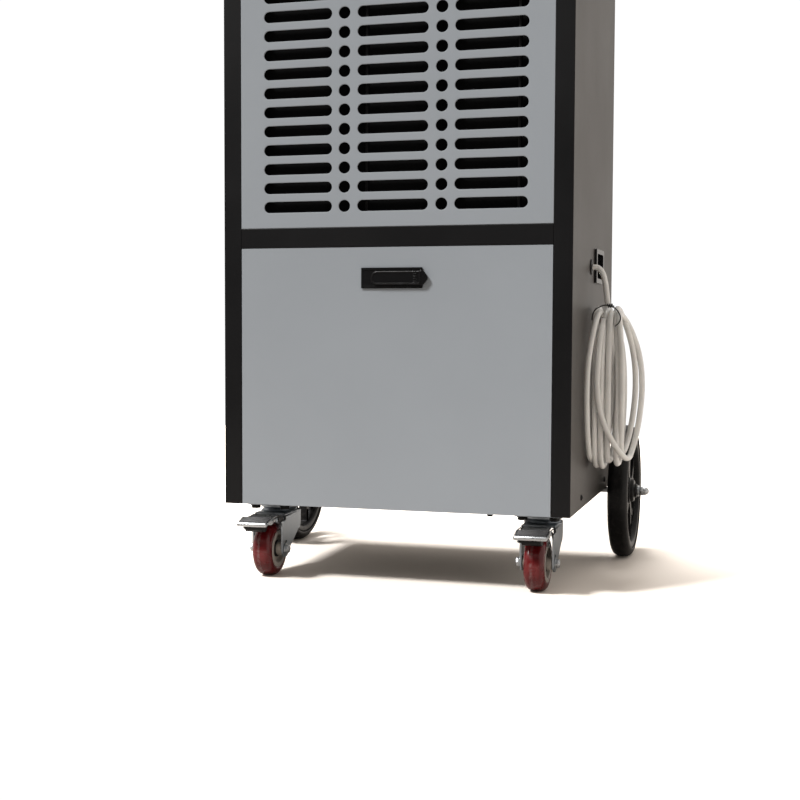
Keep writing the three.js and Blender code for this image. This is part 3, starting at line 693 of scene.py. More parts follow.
class Shaper:
    """A piece under construction, in machine millimetres."""

    SHARP = math.radians(34)
    RIM_TURNS = (0.52, 1.05)  # where a round bar's rim is stepped, in radians

    def __init__(self, name: str) -> None:
        """Starts an empty piece."""
        self.name = name
        self.bm = bmesh.new()

    def block(self, low: Sequence[float], high: Sequence[float], bevel: float = 0.0,
              segments: int = 2) -> list:
        """Adds a box.

        Args:
            low: lowest corner.
            high: highest corner.
            bevel: edge radius.
            segments: flats in the edge.

        Returns:
            The box's vertices.
        """
        low, high = Vector(low), Vector(high)
        made = bmesh.ops.create_cube(self.bm, size=1.0)["verts"]
        bmesh.ops.scale(self.bm, vec=high - low, verts=made)
        bmesh.ops.translate(self.bm, vec=(low + high) / 2, verts=made)
        if bevel:
            edges = list({e for v in made for e in v.link_edges})
            made = self._bevel(edges, bevel, segments)["verts"]
        return made

    def _bevel(self, edges: list, width: float, segments: int) -> dict:
        """Rounds edges."""
        return bmesh.ops.bevel(self.bm, geom=edges, offset=width, offset_type="OFFSET", segments=segments,
                               profile=0.5, affect="EDGES", material=-1, clamp_overlap=True)

    @staticmethod
    def _place(axis: Axis, a: float, b: float, level: float) -> Point:
        """Puts a point of an outline at a level of the axis."""
        return {Axis.X: (level, a, b), Axis.Y: (a, level, b), Axis.Z: (a, b, level)}[axis]

    def plate(self, outline: Sequence[Pair], holes: Sequence[Sequence[Pair]], axis: Axis,
              start: float, stop: float) -> None:
        """Adds a flat plate with holes right through it.

        Args:
            outline: its outer edge, in the two coordinates across the axis.
            holes: the edge of each hole.
            axis: the axis that its thickness runs along.
            start: where it starts.
            stop: where it stops.
        """
        before = set(self.bm.faces)
        ends: tuple[list, list] = ([], [])
        for loop in (outline, *holes):
            pair = []
            for level, kept in zip((start, stop), ends):
                verts = [self.bm.verts.new(self._place(axis, a, b, level)) for a, b in loop]
                edges = [self.bm.edges.new((verts[i - 1], verts[i])) for i in range(len(verts))]
                kept += edges
                pair += edges
            bmesh.ops.bridge_loops(self.bm, edges=pair)
        for kept in ends:
            bmesh.ops.triangle_fill(self.bm, use_beauty=True, use_dissolve=False, edges=kept)
        bmesh.ops.recalc_face_normals(self.bm, faces=[f for f in self.bm.faces if f not in before])

    def pipe(self, path: Sequence[Point], radius: float, sides: int = 24) -> None:
        """Adds a round tube along a path of close points.

        Args:
            path: the points, from end to end.
            radius: the tube's radius.
            sides: flats round it.
        """
        points = [Vector(p) for p in path]
        last = len(points) - 1
        before = set(self.bm.faces)
        rings = []
        for i, point in enumerate(points):
            heading = (points[min(i + 1, last)] - points[max(i - 1, 0)]).to_track_quat("Z", "Y")
            made = bmesh.ops.create_circle(self.bm, cap_ends=i in (0, last), radius=radius, segments=sides,
                                           matrix=Matrix.Translation(point) @ heading.to_matrix().to_4x4())
            rings.append(list({e for v in made["verts"] for e in v.link_edges}))
        for near, far in zip(rings, rings[1:]):
            bmesh.ops.bridge_loops(self.bm, edges=near + far)
        bmesh.ops.recalc_face_normals(self.bm, faces=[f for f in self.bm.faces if f not in before])

    def prism(self, outline: Iterable[Pair], axis: Axis, start: float, stop: float) -> list:
        """Adds a prism of an outline in the plane across an axis.

        Args:
            outline: points in the other two coordinates, in order.
            axis: the axis it runs along.
            start: where it starts.
            stop: where it stops.

        Returns:
            The prism's vertices.
        """
        verts = [self.bm.verts.new(self._place(axis, a, b, start)) for a, b in outline]
        face = self.bm.faces.new(verts)
        grown = bmesh.ops.extrude_face_region(self.bm, geom=[face])["geom"]
        top = [g for g in grown if isinstance(g, bmesh.types.BMVert)]
        push = Vector((0, 0, 0))
        push[axis.value] = stop - start
        bmesh.ops.translate(self.bm, vec=push, verts=top)
        made = verts + top
        faces = list({f for v in made for f in v.link_faces})
        bmesh.ops.recalc_face_normals(self.bm, faces=faces)
        return made

    def turned(self, profile: Iterable[Pair], axis: Axis, centre: Sequence[float], steps: int = 48) -> list:
        """Adds a ring or disc spun from a closed profile.

        Args:
            profile: (radius, offset along the axis) points; it closes on itself or ends on the axis.
            axis: the axis it turns about.
            centre: a point on that axis, where offsets start.
            steps: flats round it.

        Returns:
            The piece's vertices.
        """
        middle = Vector(centre)
        along = Vector([float(axis.value == i) for i in range(3)])
        out = Vector((0, 0, 1)) if axis is not Axis.Z else Vector((1, 0, 0))
        points = list(profile)
        verts = [self.bm.verts.new(middle + out * r + along * s) for r, s in points]
        closed = points[0][0] > 1e-6 or points[-1][0] > 1e-6
        count = len(verts) if closed else len(verts) - 1
        edges = [self.bm.edges.new((verts[i], verts[(i + 1) % len(verts)])) for i in range(count)]
        before = set(self.bm.verts) - set(verts)
        bmesh.ops.spin(self.bm, geom=verts + edges, cent=middle, axis=along, angle=2 * math.pi, steps=steps,
                       use_merge=True, use_duplicate=False)
        made = [v for v in self.bm.verts if v not in before]
        bmesh.ops.remove_doubles(self.bm, verts=made, dist=1e-4)
        made = [v for v in self.bm.verts if v not in before]
        bmesh.ops.recalc_face_normals(self.bm, faces=list({f for v in made for f in v.link_faces}))
        return made

    def rod(self, axis: Axis, start: float, stop: float, centre: Pair, radius: float,
            bevel: float = 0.0, sides: int = 32) -> list:
        """Adds a round bar.

        Args:
            axis: the axis it runs along.
            start: where it starts.
            stop: where it stops.
            centre: its place in the other two coordinates.
            radius: its radius.
            bevel: radius of its end rims.
            sides: flats round it.

        Returns:
            The bar's vertices.
        """
        start, stop = min(start, stop), max(start, stop)
        rim = min(bevel, (stop - start) / 2.01, radius * 0.99)
        ends = [(0.0, start), (radius - rim, start)]
        if rim:
            ends += [(radius - rim + rim * math.sin(t), start + rim - rim * math.cos(t))
                     for t in self.RIM_TURNS]
        ends += [(radius, start + rim), (radius, stop - rim)]
        if rim:
            ends += [(radius - rim + rim * math.cos(t), stop - rim + rim * math.sin(t))
                     for t in self.RIM_TURNS]
        ends += [(radius - rim, stop), (0.0, stop)]
        if not rim:
            ends = [(0.0, start), (radius, start), (radius, stop), (0.0, stop)]
        base = {Axis.X: (0, *centre), Axis.Y: (centre[0], 0, centre[1]), Axis.Z: (*centre, 0)}[axis]
        return self.turned(ends, axis, base, sides)

    def nut(self, axis: Axis, start: float, stop: float, centre: Pair, across: float) -> list:
        """Adds a six-sided nut or bolt head, softened at its corners.

        Args:
            axis: the axis it runs along.
            start: where it starts.
            stop: where it stops.
            centre: its place in the other two coordinates.
            across: distance from its middle to a corner.

        Returns:
            The nut's vertices.
        """
        corners = [(across * math.cos(math.pi * i / 3), across * math.sin(math.pi * i / 3)) for i in range(6)]
        outline = [(centre[0] + a, centre[1] + b) for a, b in corners]
        made = self.prism(outline, axis, start, stop)
        edges = list({e for v in made for e in v.link_edges})
        return self._bevel(edges, across * 0.07, 2)["verts"]

    def mirror_x(self) -> None:
        """Mirrors the whole piece in the centre plane."""
        bmesh.ops.scale(self.bm, vec=(-1, 1, 1), verts=self.bm.verts)
        bmesh.ops.reverse_faces(self.bm, faces=self.bm.faces)

    def take_node(self, node: str) -> None:
        """Copies a frame node in, with its triangles joined into flat faces.

        Args:
            node: the node's name.
        """
        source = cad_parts[node].data
        self.bm.from_mesh(source)
        bmesh.ops.scale(self.bm, vec=(1 / MM,) * 3, verts=self.bm.verts)
        bmesh.ops.translate(self.bm, vec=(0, -FRONT_SHIFT, 0), verts=self.bm.verts)
        bmesh.ops.remove_doubles(self.bm, verts=self.bm.verts, dist=1e-3)
        bmesh.ops.dissolve_limit(self.bm, angle_limit=math.radians(1.0), verts=self.bm.verts,
                                 edges=self.bm.edges)

    def finish(self, body: str, look: Finish, instead_of: Sequence[str] = (), edge: float = 0.0,
               segments: int = 2) -> bpy.types.Object:
        """Closes the piece and puts it on its body.

        Args:
            body: the frame's body that it rides on.
            look: its finish.
            instead_of: frame nodes that it stands for.
            edge: radius of a live bevel on its sharp edges.
            segments: flats in that bevel.

        Returns:
            The piece's object.
        """
        bmesh.ops.translate(self.bm, vec=(0, FRONT_SHIFT, 0), verts=self.bm.verts)
        bmesh.ops.scale(self.bm, vec=(MM,) * 3, verts=self.bm.verts)
        for edge_line in self.bm.edges:
            edge_line.smooth = len(edge_line.link_faces) == 2 and edge_line.calc_face_angle(0.0) < self.SHARP
        for face in self.bm.faces:
            face.smooth = True
        mesh = bpy.data.meshes.new(self.name)
        self.bm.to_mesh(mesh)
        self.bm.free()
        piece = bpy.data.objects.new(self.name, mesh)
        bpy.context.scene.collection.objects.link(piece)
        if edge:
            bevel = piece.modifiers.new("soft_edges", "BEVEL")
            bevel.width = edge * MM
            bevel.segments = segments
            bevel.limit_method = "ANGLE"
            bevel.angle_limit = self.SHARP
            bevel.harden_normals = True
            bevel.use_clamp_overlap = True
        dress(piece, body, look, instead_of)
        return piece


def dress(piece: bpy.types.Object, body: str, look: Finish, instead_of: Sequence[str] = ()) -> None:
    """Gives a new piece its material, body and the nodes that it stands for.

    Args:
        piece: the piece.
        body: the frame's body that it rides on.
        look: its finish.
        instead_of: frame nodes that it stands for.
    """
    piece.data.materials.append(look.build())
    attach(piece, body)
    if instead_of:
        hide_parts(*instead_of)
    log.info("%s on %s, %s", piece.name, body, look.name)


def repaint(node: str, look: Finish) -> None:
    """Gives a frame node that keeps its shape a better material."""
    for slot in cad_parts[node].material_slots:
        slot.material = look.build()


def softened(node: str, body: str, look: Finish, edge: float, segments: int = 2) -> bpy.types.Object:
    """Stands a copy with rounded edges in for a frame node.

    Args:
        node: the node's name.
        body: the frame's body that it rides on.
        look: its finish.
        edge: radius of its edges.
        segments: flats in each edge.

    Returns:
        The copy's object.
    """
    shape = Shaper(f"{node}_shaped")
    shape.take_node(node)
    return shape.finish(body, look, [node], edge=edge, segments=segments)


# ---- camera, light and floor ---------------------------------------------------------------------


@dataclass(frozen=True)
class Sun:
    """A distant light.

    Attributes:
        name: the light's name.
        travel: direction in which its light goes.
        strength: its strength.
        angle: its apparent size in degrees.
        tint: its colour.
    """

    name: str
    travel: Point
    strength: float
    angle: float
    tint: Point = (1.0, 0.99, 0.98)

    def build(self) -> None:
        """Adds the light to the scene."""
        data = bpy.data.lights.new(self.name, "SUN")
        data.energy = self.strength
        data.angle = math.radians(self.angle)
        data.color = self.tint
        lamp = bpy.data.objects.new(self.name, data)
        lamp.rotation_mode = "QUATERNION"
        lamp.rotation_quaternion = Vector(self.travel).to_track_quat("-Z", "Y")
        bpy.context.scene.collection.objects.link(lamp)


@dataclass
class Studio:
    """Camera, lights and a pale floor.

    Attributes:
        eye: the camera's place.
        yaw: its turn to the left, in degrees.
        pitch: its tilt upwards, in degrees.
        roll: its roll, in degrees.
        lens: its focal length.
        sensor: its sensor's width.
        floor_near: x and y of the floor's near left corner.
        floor_far: x and y of its far right corner.
        paper: the floor's colour.
        bounce: share of its light that the floor throws back.
        backdrop: brightness of the white behind everything.
        room_light: strength of the room's light.
        room_tint: its colour.
        dim_side: direction of the room's dark side.
        dim: brightness of that side next to the rest.
        fade: how closely a direction faces the dark side where the fade starts and where it ends.
        suns: key light and overhead light.
    """

    eye: Point = (510.1, -1685.0, 350.1)
    yaw: float = 16.476
    pitch: float = -3.186
    roll: float = 0.224
    lens: float = 59.7
    sensor: float = 36.0
    floor_near: Pair = (-1900.0, -720.0)
    floor_far: Pair = (2700.0, 2600.0)
    paper: Point = (0.95, 0.875, 0.80)
    bounce: float = 0.42
    room_light: float = 0.76
    room_tint: Point = (1.0, 0.945, 0.885)
    dim_side: Point = (-0.12, -0.98, -0.05)
    dim: float = 0.16
    fade: Pair = (0.45, 0.92)
    backdrop: float = 1.05
    suns: tuple[Sun, ...] = (Sun("key_light", (0.65, 0.6, -1.0), 4.4, 11.0),
                             Sun("overhead_light", (0.28, -0.22, -1.0), 4.0, 33.0))

    def camera(self) -> None:
        """Makes the camera and aims it."""
        data = bpy.data.cameras.new("viewpoint")
        data.lens = self.lens
        data.sensor_width = self.sensor
        data.clip_end = 200.0
        holder = bpy.data.objects.new("viewpoint", data)
        bpy.context.scene.collection.objects.link(holder)
        aim = (Matrix.Rotation(math.radians(self.yaw), 4, "Z")
               @ Matrix.Rotation(math.radians(90 + self.pitch), 4, "X")
               @ Matrix.Rotation(math.radians(self.roll), 4, "Z"))
        holder.matrix_world = Matrix.Translation(to_frame(*self.eye)) @ aim
        bpy.context.scene.camera = holder

    def _room_shade(self, nodes: NodeTree) -> bpy.types.NodeSocket:
        """Colour of the room, which is dim towards the front where the studio is dark.

        Args:
            nodes: the world's node tree.

        Returns:
            The colour's socket.
        """
        place = nodes.add("ShaderNodeTexCoord")
        facing = nodes.add("ShaderNodeVectorMath", operation="DOT_PRODUCT")
        nodes.link(place.outputs["Generated"], facing.inputs[0])
        facing.inputs[1].default_value = self.dim_side
        fade = nodes.add("ShaderNodeMapRange", From_Min=self.fade[0], From_Max=self.fade[1])
        fade.interpolation_type = "SMOOTHSTEP"
        nodes.link(facing.outputs["Value"], fade.inputs["Value"])
        dark = tuple(c * self.dim for c in self.room_tint)
        return nodes.blend(fade.outputs["Result"], self.room_tint, dark)

    @staticmethod
    def _seen_or_lit(nodes: NodeTree, seen: bpy.types.Node, lit: bpy.types.Node, out: bpy.types.Node) -> None:
        """Shows the camera one shader and lights the machine with another.

        Args:
            nodes: the tree that they are in.
            seen: the shader for the camera.
            lit: the shader for everything else.
            out: the tree's output node.
        """
        which = nodes.add("ShaderNodeLightPath")
        mix = nodes.add("ShaderNodeMixShader")
        nodes.link(which.outputs["Is Camera Ray"], mix.inputs[0])
        nodes.link(lit.outputs[0], mix.inputs[1])
        nodes.link(seen.outputs[0], mix.inputs[2])
        nodes.link(mix.outputs[0], out.inputs[0])

    def lights(self) -> None:
        """Adds the key, the overhead light and the white room."""
        for sun in self.suns:
            sun.build()
        world = bpy.data.worlds.new("white_room")
        bpy.context.scene.world = world
        world.use_nodes = True
        nodes = NodeTree(world.node_tree)
        world.node_tree.nodes.clear()
        out = nodes.add("ShaderNodeOutputWorld")
        seen = nodes.add("ShaderNodeBackground", Color=(1.0, 1.0, 1.0, 1.0), Strength=self.backdrop)
        room = nodes.add("ShaderNodeBackground", Strength=self.room_light)
        nodes.link(self._room_shade(nodes), room.inputs["Color"])
        self._seen_or_lit(nodes, seen, room, out)
        bpy.context.scene.view_settings.view_transform = "Standard"

    def _paper(self) -> bpy.types.Material:
        """Pale floor paper that throws back less light than it shows.

        Returns:
            The paper's material.
        """
        paper = bpy.data.materials.new("floor_paper")
        paper.use_nodes = True
        nodes = NodeTree(paper.node_tree)
        paper.node_tree.nodes.clear()
        out = nodes.add("ShaderNodeOutputMaterial")
        seen = nodes.add("ShaderNodeBsdfDiffuse", Color=(*self.paper, 1.0))
        bounced = nodes.add("ShaderNodeBsdfDiffuse", Color=(*(c * self.bounce for c in self.paper), 1.0))
        self._seen_or_lit(nodes, seen, bounced, out)
        return paper

    def floor(self) -> None:
        """Lays a wide pale floor."""
        shape = bmesh.new()
        (left, front), (right, back) = self.floor_near, self.floor_far
        corners = [shape.verts.new(to_frame(x, y, 0.0)) for x, y in
                   ((left, front), (right, front), (right, back), (left, back))]
        shape.faces.new(corners)
        mesh = bpy.data.meshes.new("studio_floor")
        shape.to_mesh(mesh)
        shape.free()
        ground = bpy.data.objects.new("studio_floor", mesh)
        bpy.context.scene.collection.objects.link(ground)
        mesh.materials.append(self._paper())


# ---- drain hose ----------------------------------------------------------------------------------


def round_strand(name: str, paths: Sequence[Sequence[Point]], radius: float, section: int = 3,
                 steps: int = 12, caps: bool = False) -> bpy.types.Object:
    """Makes one curve object of round strands through lists of points.

    Args:
        name: the object's name.
        paths: the points of each strand.
        radius: the strands' radius.
        section: roundness of their section.
        steps: flats from one point to the next.
        caps: closes their ends.

    Returns:
        The curve's object.
    """
    curve = bpy.data.curves.new(name, "CURVE")
    curve.dimensions = "3D"
    curve.bevel_depth = radius * MM
    curve.bevel_resolution = section
    curve.resolution_u = steps
    curve.use_fill_caps = caps
    for path in paths:
        spline = curve.splines.new("BEZIER")
        spline.bezier_points.add(len(path) - 1)
        for knot, place in zip(spline.bezier_points, path):
            knot.co = to_frame(*place)
            knot.handle_left_type = knot.handle_right_type = "AUTO"
    strand = bpy.data.objects.new(name, curve)
    bpy.context.scene.collection.objects.link(strand)
    return strand


@dataclass
class DrainHose:
    """Drain hose that arcs out of its grommet and hangs in loops from a wire tie."""

    radius: float = 4.0
    # From the grommet to the top of the loops, whose own points stand for the last one.
    route: tuple[Point, ...] = (
        (242.2, 159.5, 433), (248, 159.6, 432.1), (253.2, 159.9, 428.6), (256.8, 160.3, 422),
        (259.2, 160.9, 412.5), (261, 161.7, 401), (262.2, 162.7, 389), (262.8, 163.8, 380))
    top: float = 371.0
    bottom: float = 157.0
    middle_y: float = 160.0
    # For each loop: x at its top, at the middle of its rear strand, at its foot and at the middle
    # of its front strand, then how deep it is and how far its foot is above the lowest one.
    loops: tuple[tuple[float, ...], ...] = (
        (263.0, 267.0, 252.0, 253.5, 48.0, 1.0),
        (250.0, 250.5, 245.8, 245.2, 63.0, 9.0),
        (257.0, 259.0, 260.0, 262.0, 46.0, 0.0),
        (264.5, 272.5, 268.5, 271.5, 45.0, 8.0),
        (271.0, 283.0, 280.0, 284.5, 40.0, 4.0),
        (277.0, 298.0, 287.0, 290.0, 44.0, 20.0),
        (281.0, 306.0, 294.0, 258.0, 55.0, 12.0),
    )
    steps: int = 16
    joined_at: float = 0.14  # share of the first loop that the route out of the grommet stands for
    fullness: float = 0.65  # below 1 the loops' sides are straighter than a circle's
    stagger: float = 4.0  # how far the tops of the loops alternate up and down
    wire_r: float = 0.9
    wire_loop: tuple[Point, ...] = (
        (246.5, 128, 360), (248.5, 123, 368), (253, 120, 374), (260, 119, 378), (267, 119, 379.5),
        (273, 119, 378.5), (278.5, 119, 375.5), (283, 118, 371), (286.5, 117, 363), (285, 114, 356),
        (280, 112, 351))
    twist_start: Point = (268.5, 117, 378.8)
    twist_r: float = 2.2
    twist_steps: int = 25
    twist_step: float = 0.36
    collar_r: float = 7.6
    panel_face: float = 240.3

    def _loop_point(self, index: int, share: float) -> Point:
        """Point on a loop.

        Args:
            index: which loop.
            share: 0 at its top, 0.25 on the rear strand, 0.5 at its foot, 0.75 on the front strand.

        Returns:
            The point in machine millimetres.
        """
        top_x, rear_x, foot_x, front_x, depth, lift = self.loops[index]
        next_top = self.loops[(index + 1) % len(self.loops)][0]
        marks = (top_x, rear_x, foot_x, front_x, next_top)
        quarter = min(3, int(share * 4))
        part = share * 4 - quarter
        ease = (1 - math.cos(part * math.pi)) / 2
        x = marks[quarter] + (marks[quarter + 1] - marks[quarter]) * ease
        turn = share * 2 * math.pi
        half = (self.top - self.bottom - lift) / 2
        top_step = self.stagger if index % 2 else -self.stagger
        upper = max(0.0, math.cos(turn))
        z = self.bottom + lift + half + (half + top_step * upper) * math.cos(turn)
        wide = math.copysign(abs(math.sin(turn)) ** self.fullness, math.sin(turn))
        return (x, self.middle_y + depth * wide, z)

    def points(self) -> list[Point]:
        """Whole centreline, from the grommet to the free end.

        Returns:
            The points in machine millimetres.
        """
        line = list(self.route[:-1])
        for index in range(len(self.loops)):
            shares = [i / self.steps for i in range(self.steps)]
            line += [self._loop_point(index, share) for share in shares if index or share >= self.joined_at]
        return line

    def build(self) -> None:
        """Makes the hose, its tie and its grommet."""
        hose = round_strand("drain_hose", [self.points()], self.radius, section=4, steps=5, caps=True)
        dress(hose, "cabinet", VINYL, ["hose_tube", "hose_hank"])
        bpy.context.view_layer.update()
        self._tie()
        self._grommet()

    def _tie(self) -> bpy.types.Object:
        """Twisted wire round the top of the loops.

        Returns:
            The wire's object.
        """
        x, y, z = self.twist_start
        turns = [i * math.pi / 4 for i in range(self.twist_steps)]
        twist = [(x + self.twist_step * i, y + self.twist_r * math.cos(turn),
                  z + self.twist_r * math.sin(turn)) for i, turn in enumerate(turns)]
        wire = round_strand("hose_tie_wire", [self.wire_loop, twist], self.wire_r)
        dress(wire, "cabinet", TIE_WIRE, ["hose_tie"])
        return wire

    def _grommet(self) -> None:
        """Rubber grommet with a rounded collar."""
        shape = Shaper("hose_grommet_collar")
        box = Span.of("hose_grommet")
        outer = box.size.y / 2
        face = box.high.x
        inner = self.radius + 0.4
        profile = [(inner, box.low.x), (self.collar_r, box.low.x), (self.collar_r, self.panel_face),
                   (outer - 0.3, self.panel_face), (outer, self.panel_face + 0.2)]
        profile += arc((outer - 1.0, face - 1.0), 1.0, 0, 90, 4)
        profile += [(inner + 0.5, face), (inner, face - 0.5)]
        shape.turned(profile, Axis.X, (0, box.centre.y, box.centre.z), 48)
        shape.finish("cabinet", BLACK_PLASTIC, ["hose_grommet"])


# ---- cabinet -------------------------------------------------------------------------------------


@dataclass
class Cabinet:
    """Sheet-metal shell with its posts, beams, intake, roof and fixings."""

    panel_edge: float = 0.7
    slot_rows: int = 12
    slot_first: float = 509.8
    slot_pitch: float = 25.4
    slot_height: float = 15.0
    slot_length: float = 97.0
    slot_columns: tuple[float, ...] = (-132.8, 0.0, 132.8)
    dot_columns: tuple[float, ...] = (-66.8, 66.8)
    dot_radius: float = 8.0
    lip: float = 0.6
    hole_points: int = 28
    filter_edge: float = 9.0
    filter_bars: Pair = (-38.0, 168.0)
    side_face: float = 240.0
    side_screws: tuple[Pair, ...] = ((91.0, 120.0), (318.0, 120.0), (318.0, 975.0), (120.0, 975.0))
    rear_screws_x: Pair = (-222.0, 222.0)
    rear_screws_z: tuple[float, ...] = (130.0, 420.0, 700.0, 975.0)

    def build(self) -> None:
        """Makes every outer piece of the cabinet."""
        for node in ("post_front_left", "post_front_right", "cross_beam", "upper_beam", "top_cover",
                     "base_pan"):
            softened(node, "cabinet", BLACK_PAINT, self.panel_edge)
        for node in ("side_panel_left", "side_panel_right", "rear_panel"):
            softened(node, "cabinet", BRONZE_PAINT, 0.6)
        self._intake()
        self._filter()
        self._screws()
        log.info("cabinet shell done")

    def _ring(self, shape: Shaper, centre: Pair, radius: float, stretch: float, y: float) -> list:
        """Closed loop of edges for one slot or hole.

        Args:
            shape: the piece under construction.
            centre: x and z of the hole.
            radius: radius of its round ends.
            stretch: half the length of its straight part.
            y: depth of the loop.

        Returns:
            The loop's edges.
        """
        sides = self.hole_points
        made = bmesh.ops.create_circle(shape.bm, cap_ends=False, radius=radius, segments=sides)["verts"]
        for angle, axis in ((math.pi / sides, "Z"), (math.pi / 2, "X")):
            bmesh.ops.rotate(shape.bm, verts=made, cent=(0, 0, 0), matrix=Matrix.Rotation(angle, 3, axis))
        for side in (-1, 1):
            half = [v for v in made if v.co.x * side > 0]
            bmesh.ops.translate(shape.bm, vec=(side * stretch, 0, 0), verts=half)
        bmesh.ops.translate(shape.bm, vec=(centre[0], y, centre[1]), verts=made)
        return list({e for v in made for e in v.link_edges})

    def _hole(self, shape: Shaper, centre: Pair, radius: float, stretch: float,
              thick: float) -> tuple[list, list]:
        """Rolled lip and wall of one hole.

        Args:
            shape: the piece under construction.
            centre: x and z of the hole.
            radius: radius of its round ends.
            stretch: half the length of its straight part.
            thick: thickness of the sheet.

        Returns:
            Edges of its loop in the front face and of its loop in the rear face.
        """
        rings = [self._ring(shape, centre, radius + grow, stretch, depth) for grow, depth in rolled(self.lip)]
        rings.append(self._ring(shape, centre, radius, stretch, thick))
        for near, far in zip(rings, rings[1:]):
            bmesh.ops.bridge_loops(shape.bm, edges=near + far)
        return rings[0], rings[-1]

    @staticmethod
    def _border(shape: Shaper, box: Span, inset: float, y: float) -> list:
        """Loop of edges along the sheet's outline.

        Args:
            shape: the piece under construction.
            box: the sheet's box.
            inset: how far inside that box the loop is.
            y: depth of the loop.

        Returns:
            The loop's edges.
        """
        left, right = box.low.x + inset, box.high.x - inset
        foot, top = box.low.z + inset, box.high.z - inset
        corners = ((left, y, foot), (right, y, foot), (right, y, top), (left, y, top))
        verts = [shape.bm.verts.new(corner) for corner in corners]
        return [shape.bm.edges.new((verts[i], verts[(i + 1) % 4])) for i in range(4)]

    def _intake(self) -> None:
        """Slotted front sheet with rolled slot edges and folded sides."""
        box = Span.of("intake_panel")
        shape = Shaper("intake_sheet")
        thick = box.size.y
        fronts, backs = [], []
        radius = self.slot_height / 2
        stretch = self.slot_length / 2 - radius
        for row in range(self.slot_rows):
            z = self.slot_first + row * self.slot_pitch
            holes = [(x, radius, stretch) for x in self.slot_columns]
            holes += [(x, self.dot_radius, 0.0) for x in self.dot_columns]
            for x, round_r, straight in holes:
                front, back = self._hole(shape, (x, z), round_r, straight, thick)
                fronts += front
                backs += back
        frames = [self._border(shape, box, inset, y) for inset, y in rolled(self.panel_edge)]
        frames.append(self._border(shape, box, 0.0, thick))
        for near, far in zip(frames, frames[1:]):
            bmesh.ops.bridge_loops(shape.bm, edges=near + far)
        for edges in (fronts + frames[0], backs + frames[-1]):
            bmesh.ops.triangle_fill(shape.bm, use_beauty=True, use_dissolve=False, edges=edges)
        bmesh.ops.recalc_face_normals(shape.bm, faces=shape.bm.faces)
        piece = shape.finish("cabinet", GREY_PAINT, ["intake_panel"])
        weigh = piece.modifiers.new("flat_faces", "WEIGHTED_NORMAL")
        weigh.keep_sharp = True

    def _filter(self) -> None:
        """Washable filter: a framed weave with two upright bars."""
        box = Span.of("intake_filter")
        low, high = box.low, box.high
        weave = Shaper("filter_weave_sheet")
        weave.block((low.x + 2, low.y + 3, low.z + 2), (high.x - 2, low.y + 4, high.z - 2))
        weave.finish("cabinet", FILTER_MESH, ["intake_filter"])
        bars = Shaper("filter_frame")
        wide = self.filter_edge
        bars.block((low.x, low.y, low.z), (low.x + wide, high.y, high.z), 1.0)
        bars.block((high.x - wide, low.y, low.z), (high.x, high.y, high.z), 1.0)
        bars.block((low.x, low.y, low.z), (high.x, high.y, low.z + wide), 1.0)
        bars.block((low.x, low.y, high.z - wide), (high.x, high.y, high.z), 1.0)
        for x in self.filter_bars:
            bars.block((x - 1.5, low.y + 1, low.z), (x + 1.5, low.y + 5, high.z), 0.5)
        bars.finish("cabinet", BLACK_PLASTIC)

    @staticmethod
    def _screw(shape: Shaper, axis: Axis, face: float, centre: Point) -> None:
        """Adds a button head with a round drive recess.

        Args:
            shape: the piece under construction.
            axis: the axis the screw runs along.
            face: where the panel's face is on that axis.
            centre: a point on the screw's own axis.
        """
        profile = [(0, face - 1), (4.2, face - 1), (4.2, face + 0.4), (3.6, face + 1.3), (2.4, face + 2.0),
                   (1.9, face + 2.1), (1.7, face + 0.9), (0, face + 0.9)]
        shape.turned(profile, axis, centre, 24)

    def _screws(self) -> None:
        """Black button-head screws in the side panels and the rear panel."""
        for side in Side:
            shape = Shaper(f"panel_screws_{side.word}")
            for y, z in self.side_screws:
                self._screw(shape, Axis.X, self.side_face, (0, y, z))
            if side is Side.LEFT:
                shape.mirror_x()
            shape.finish("cabinet", BLACK_PLASTIC)
        rear = Shaper("panel_screws_rear")
        face = Span.of("rear_panel").high.y
        for x in self.rear_screws_x:
            for z in self.rear_screws_z:
                self._screw(rear, Axis.Y, face, (x, 0, z))
        rear.finish("cabinet", BLACK_PLASTIC)


# ---- door and latch ------------------------------------------------------------------------------


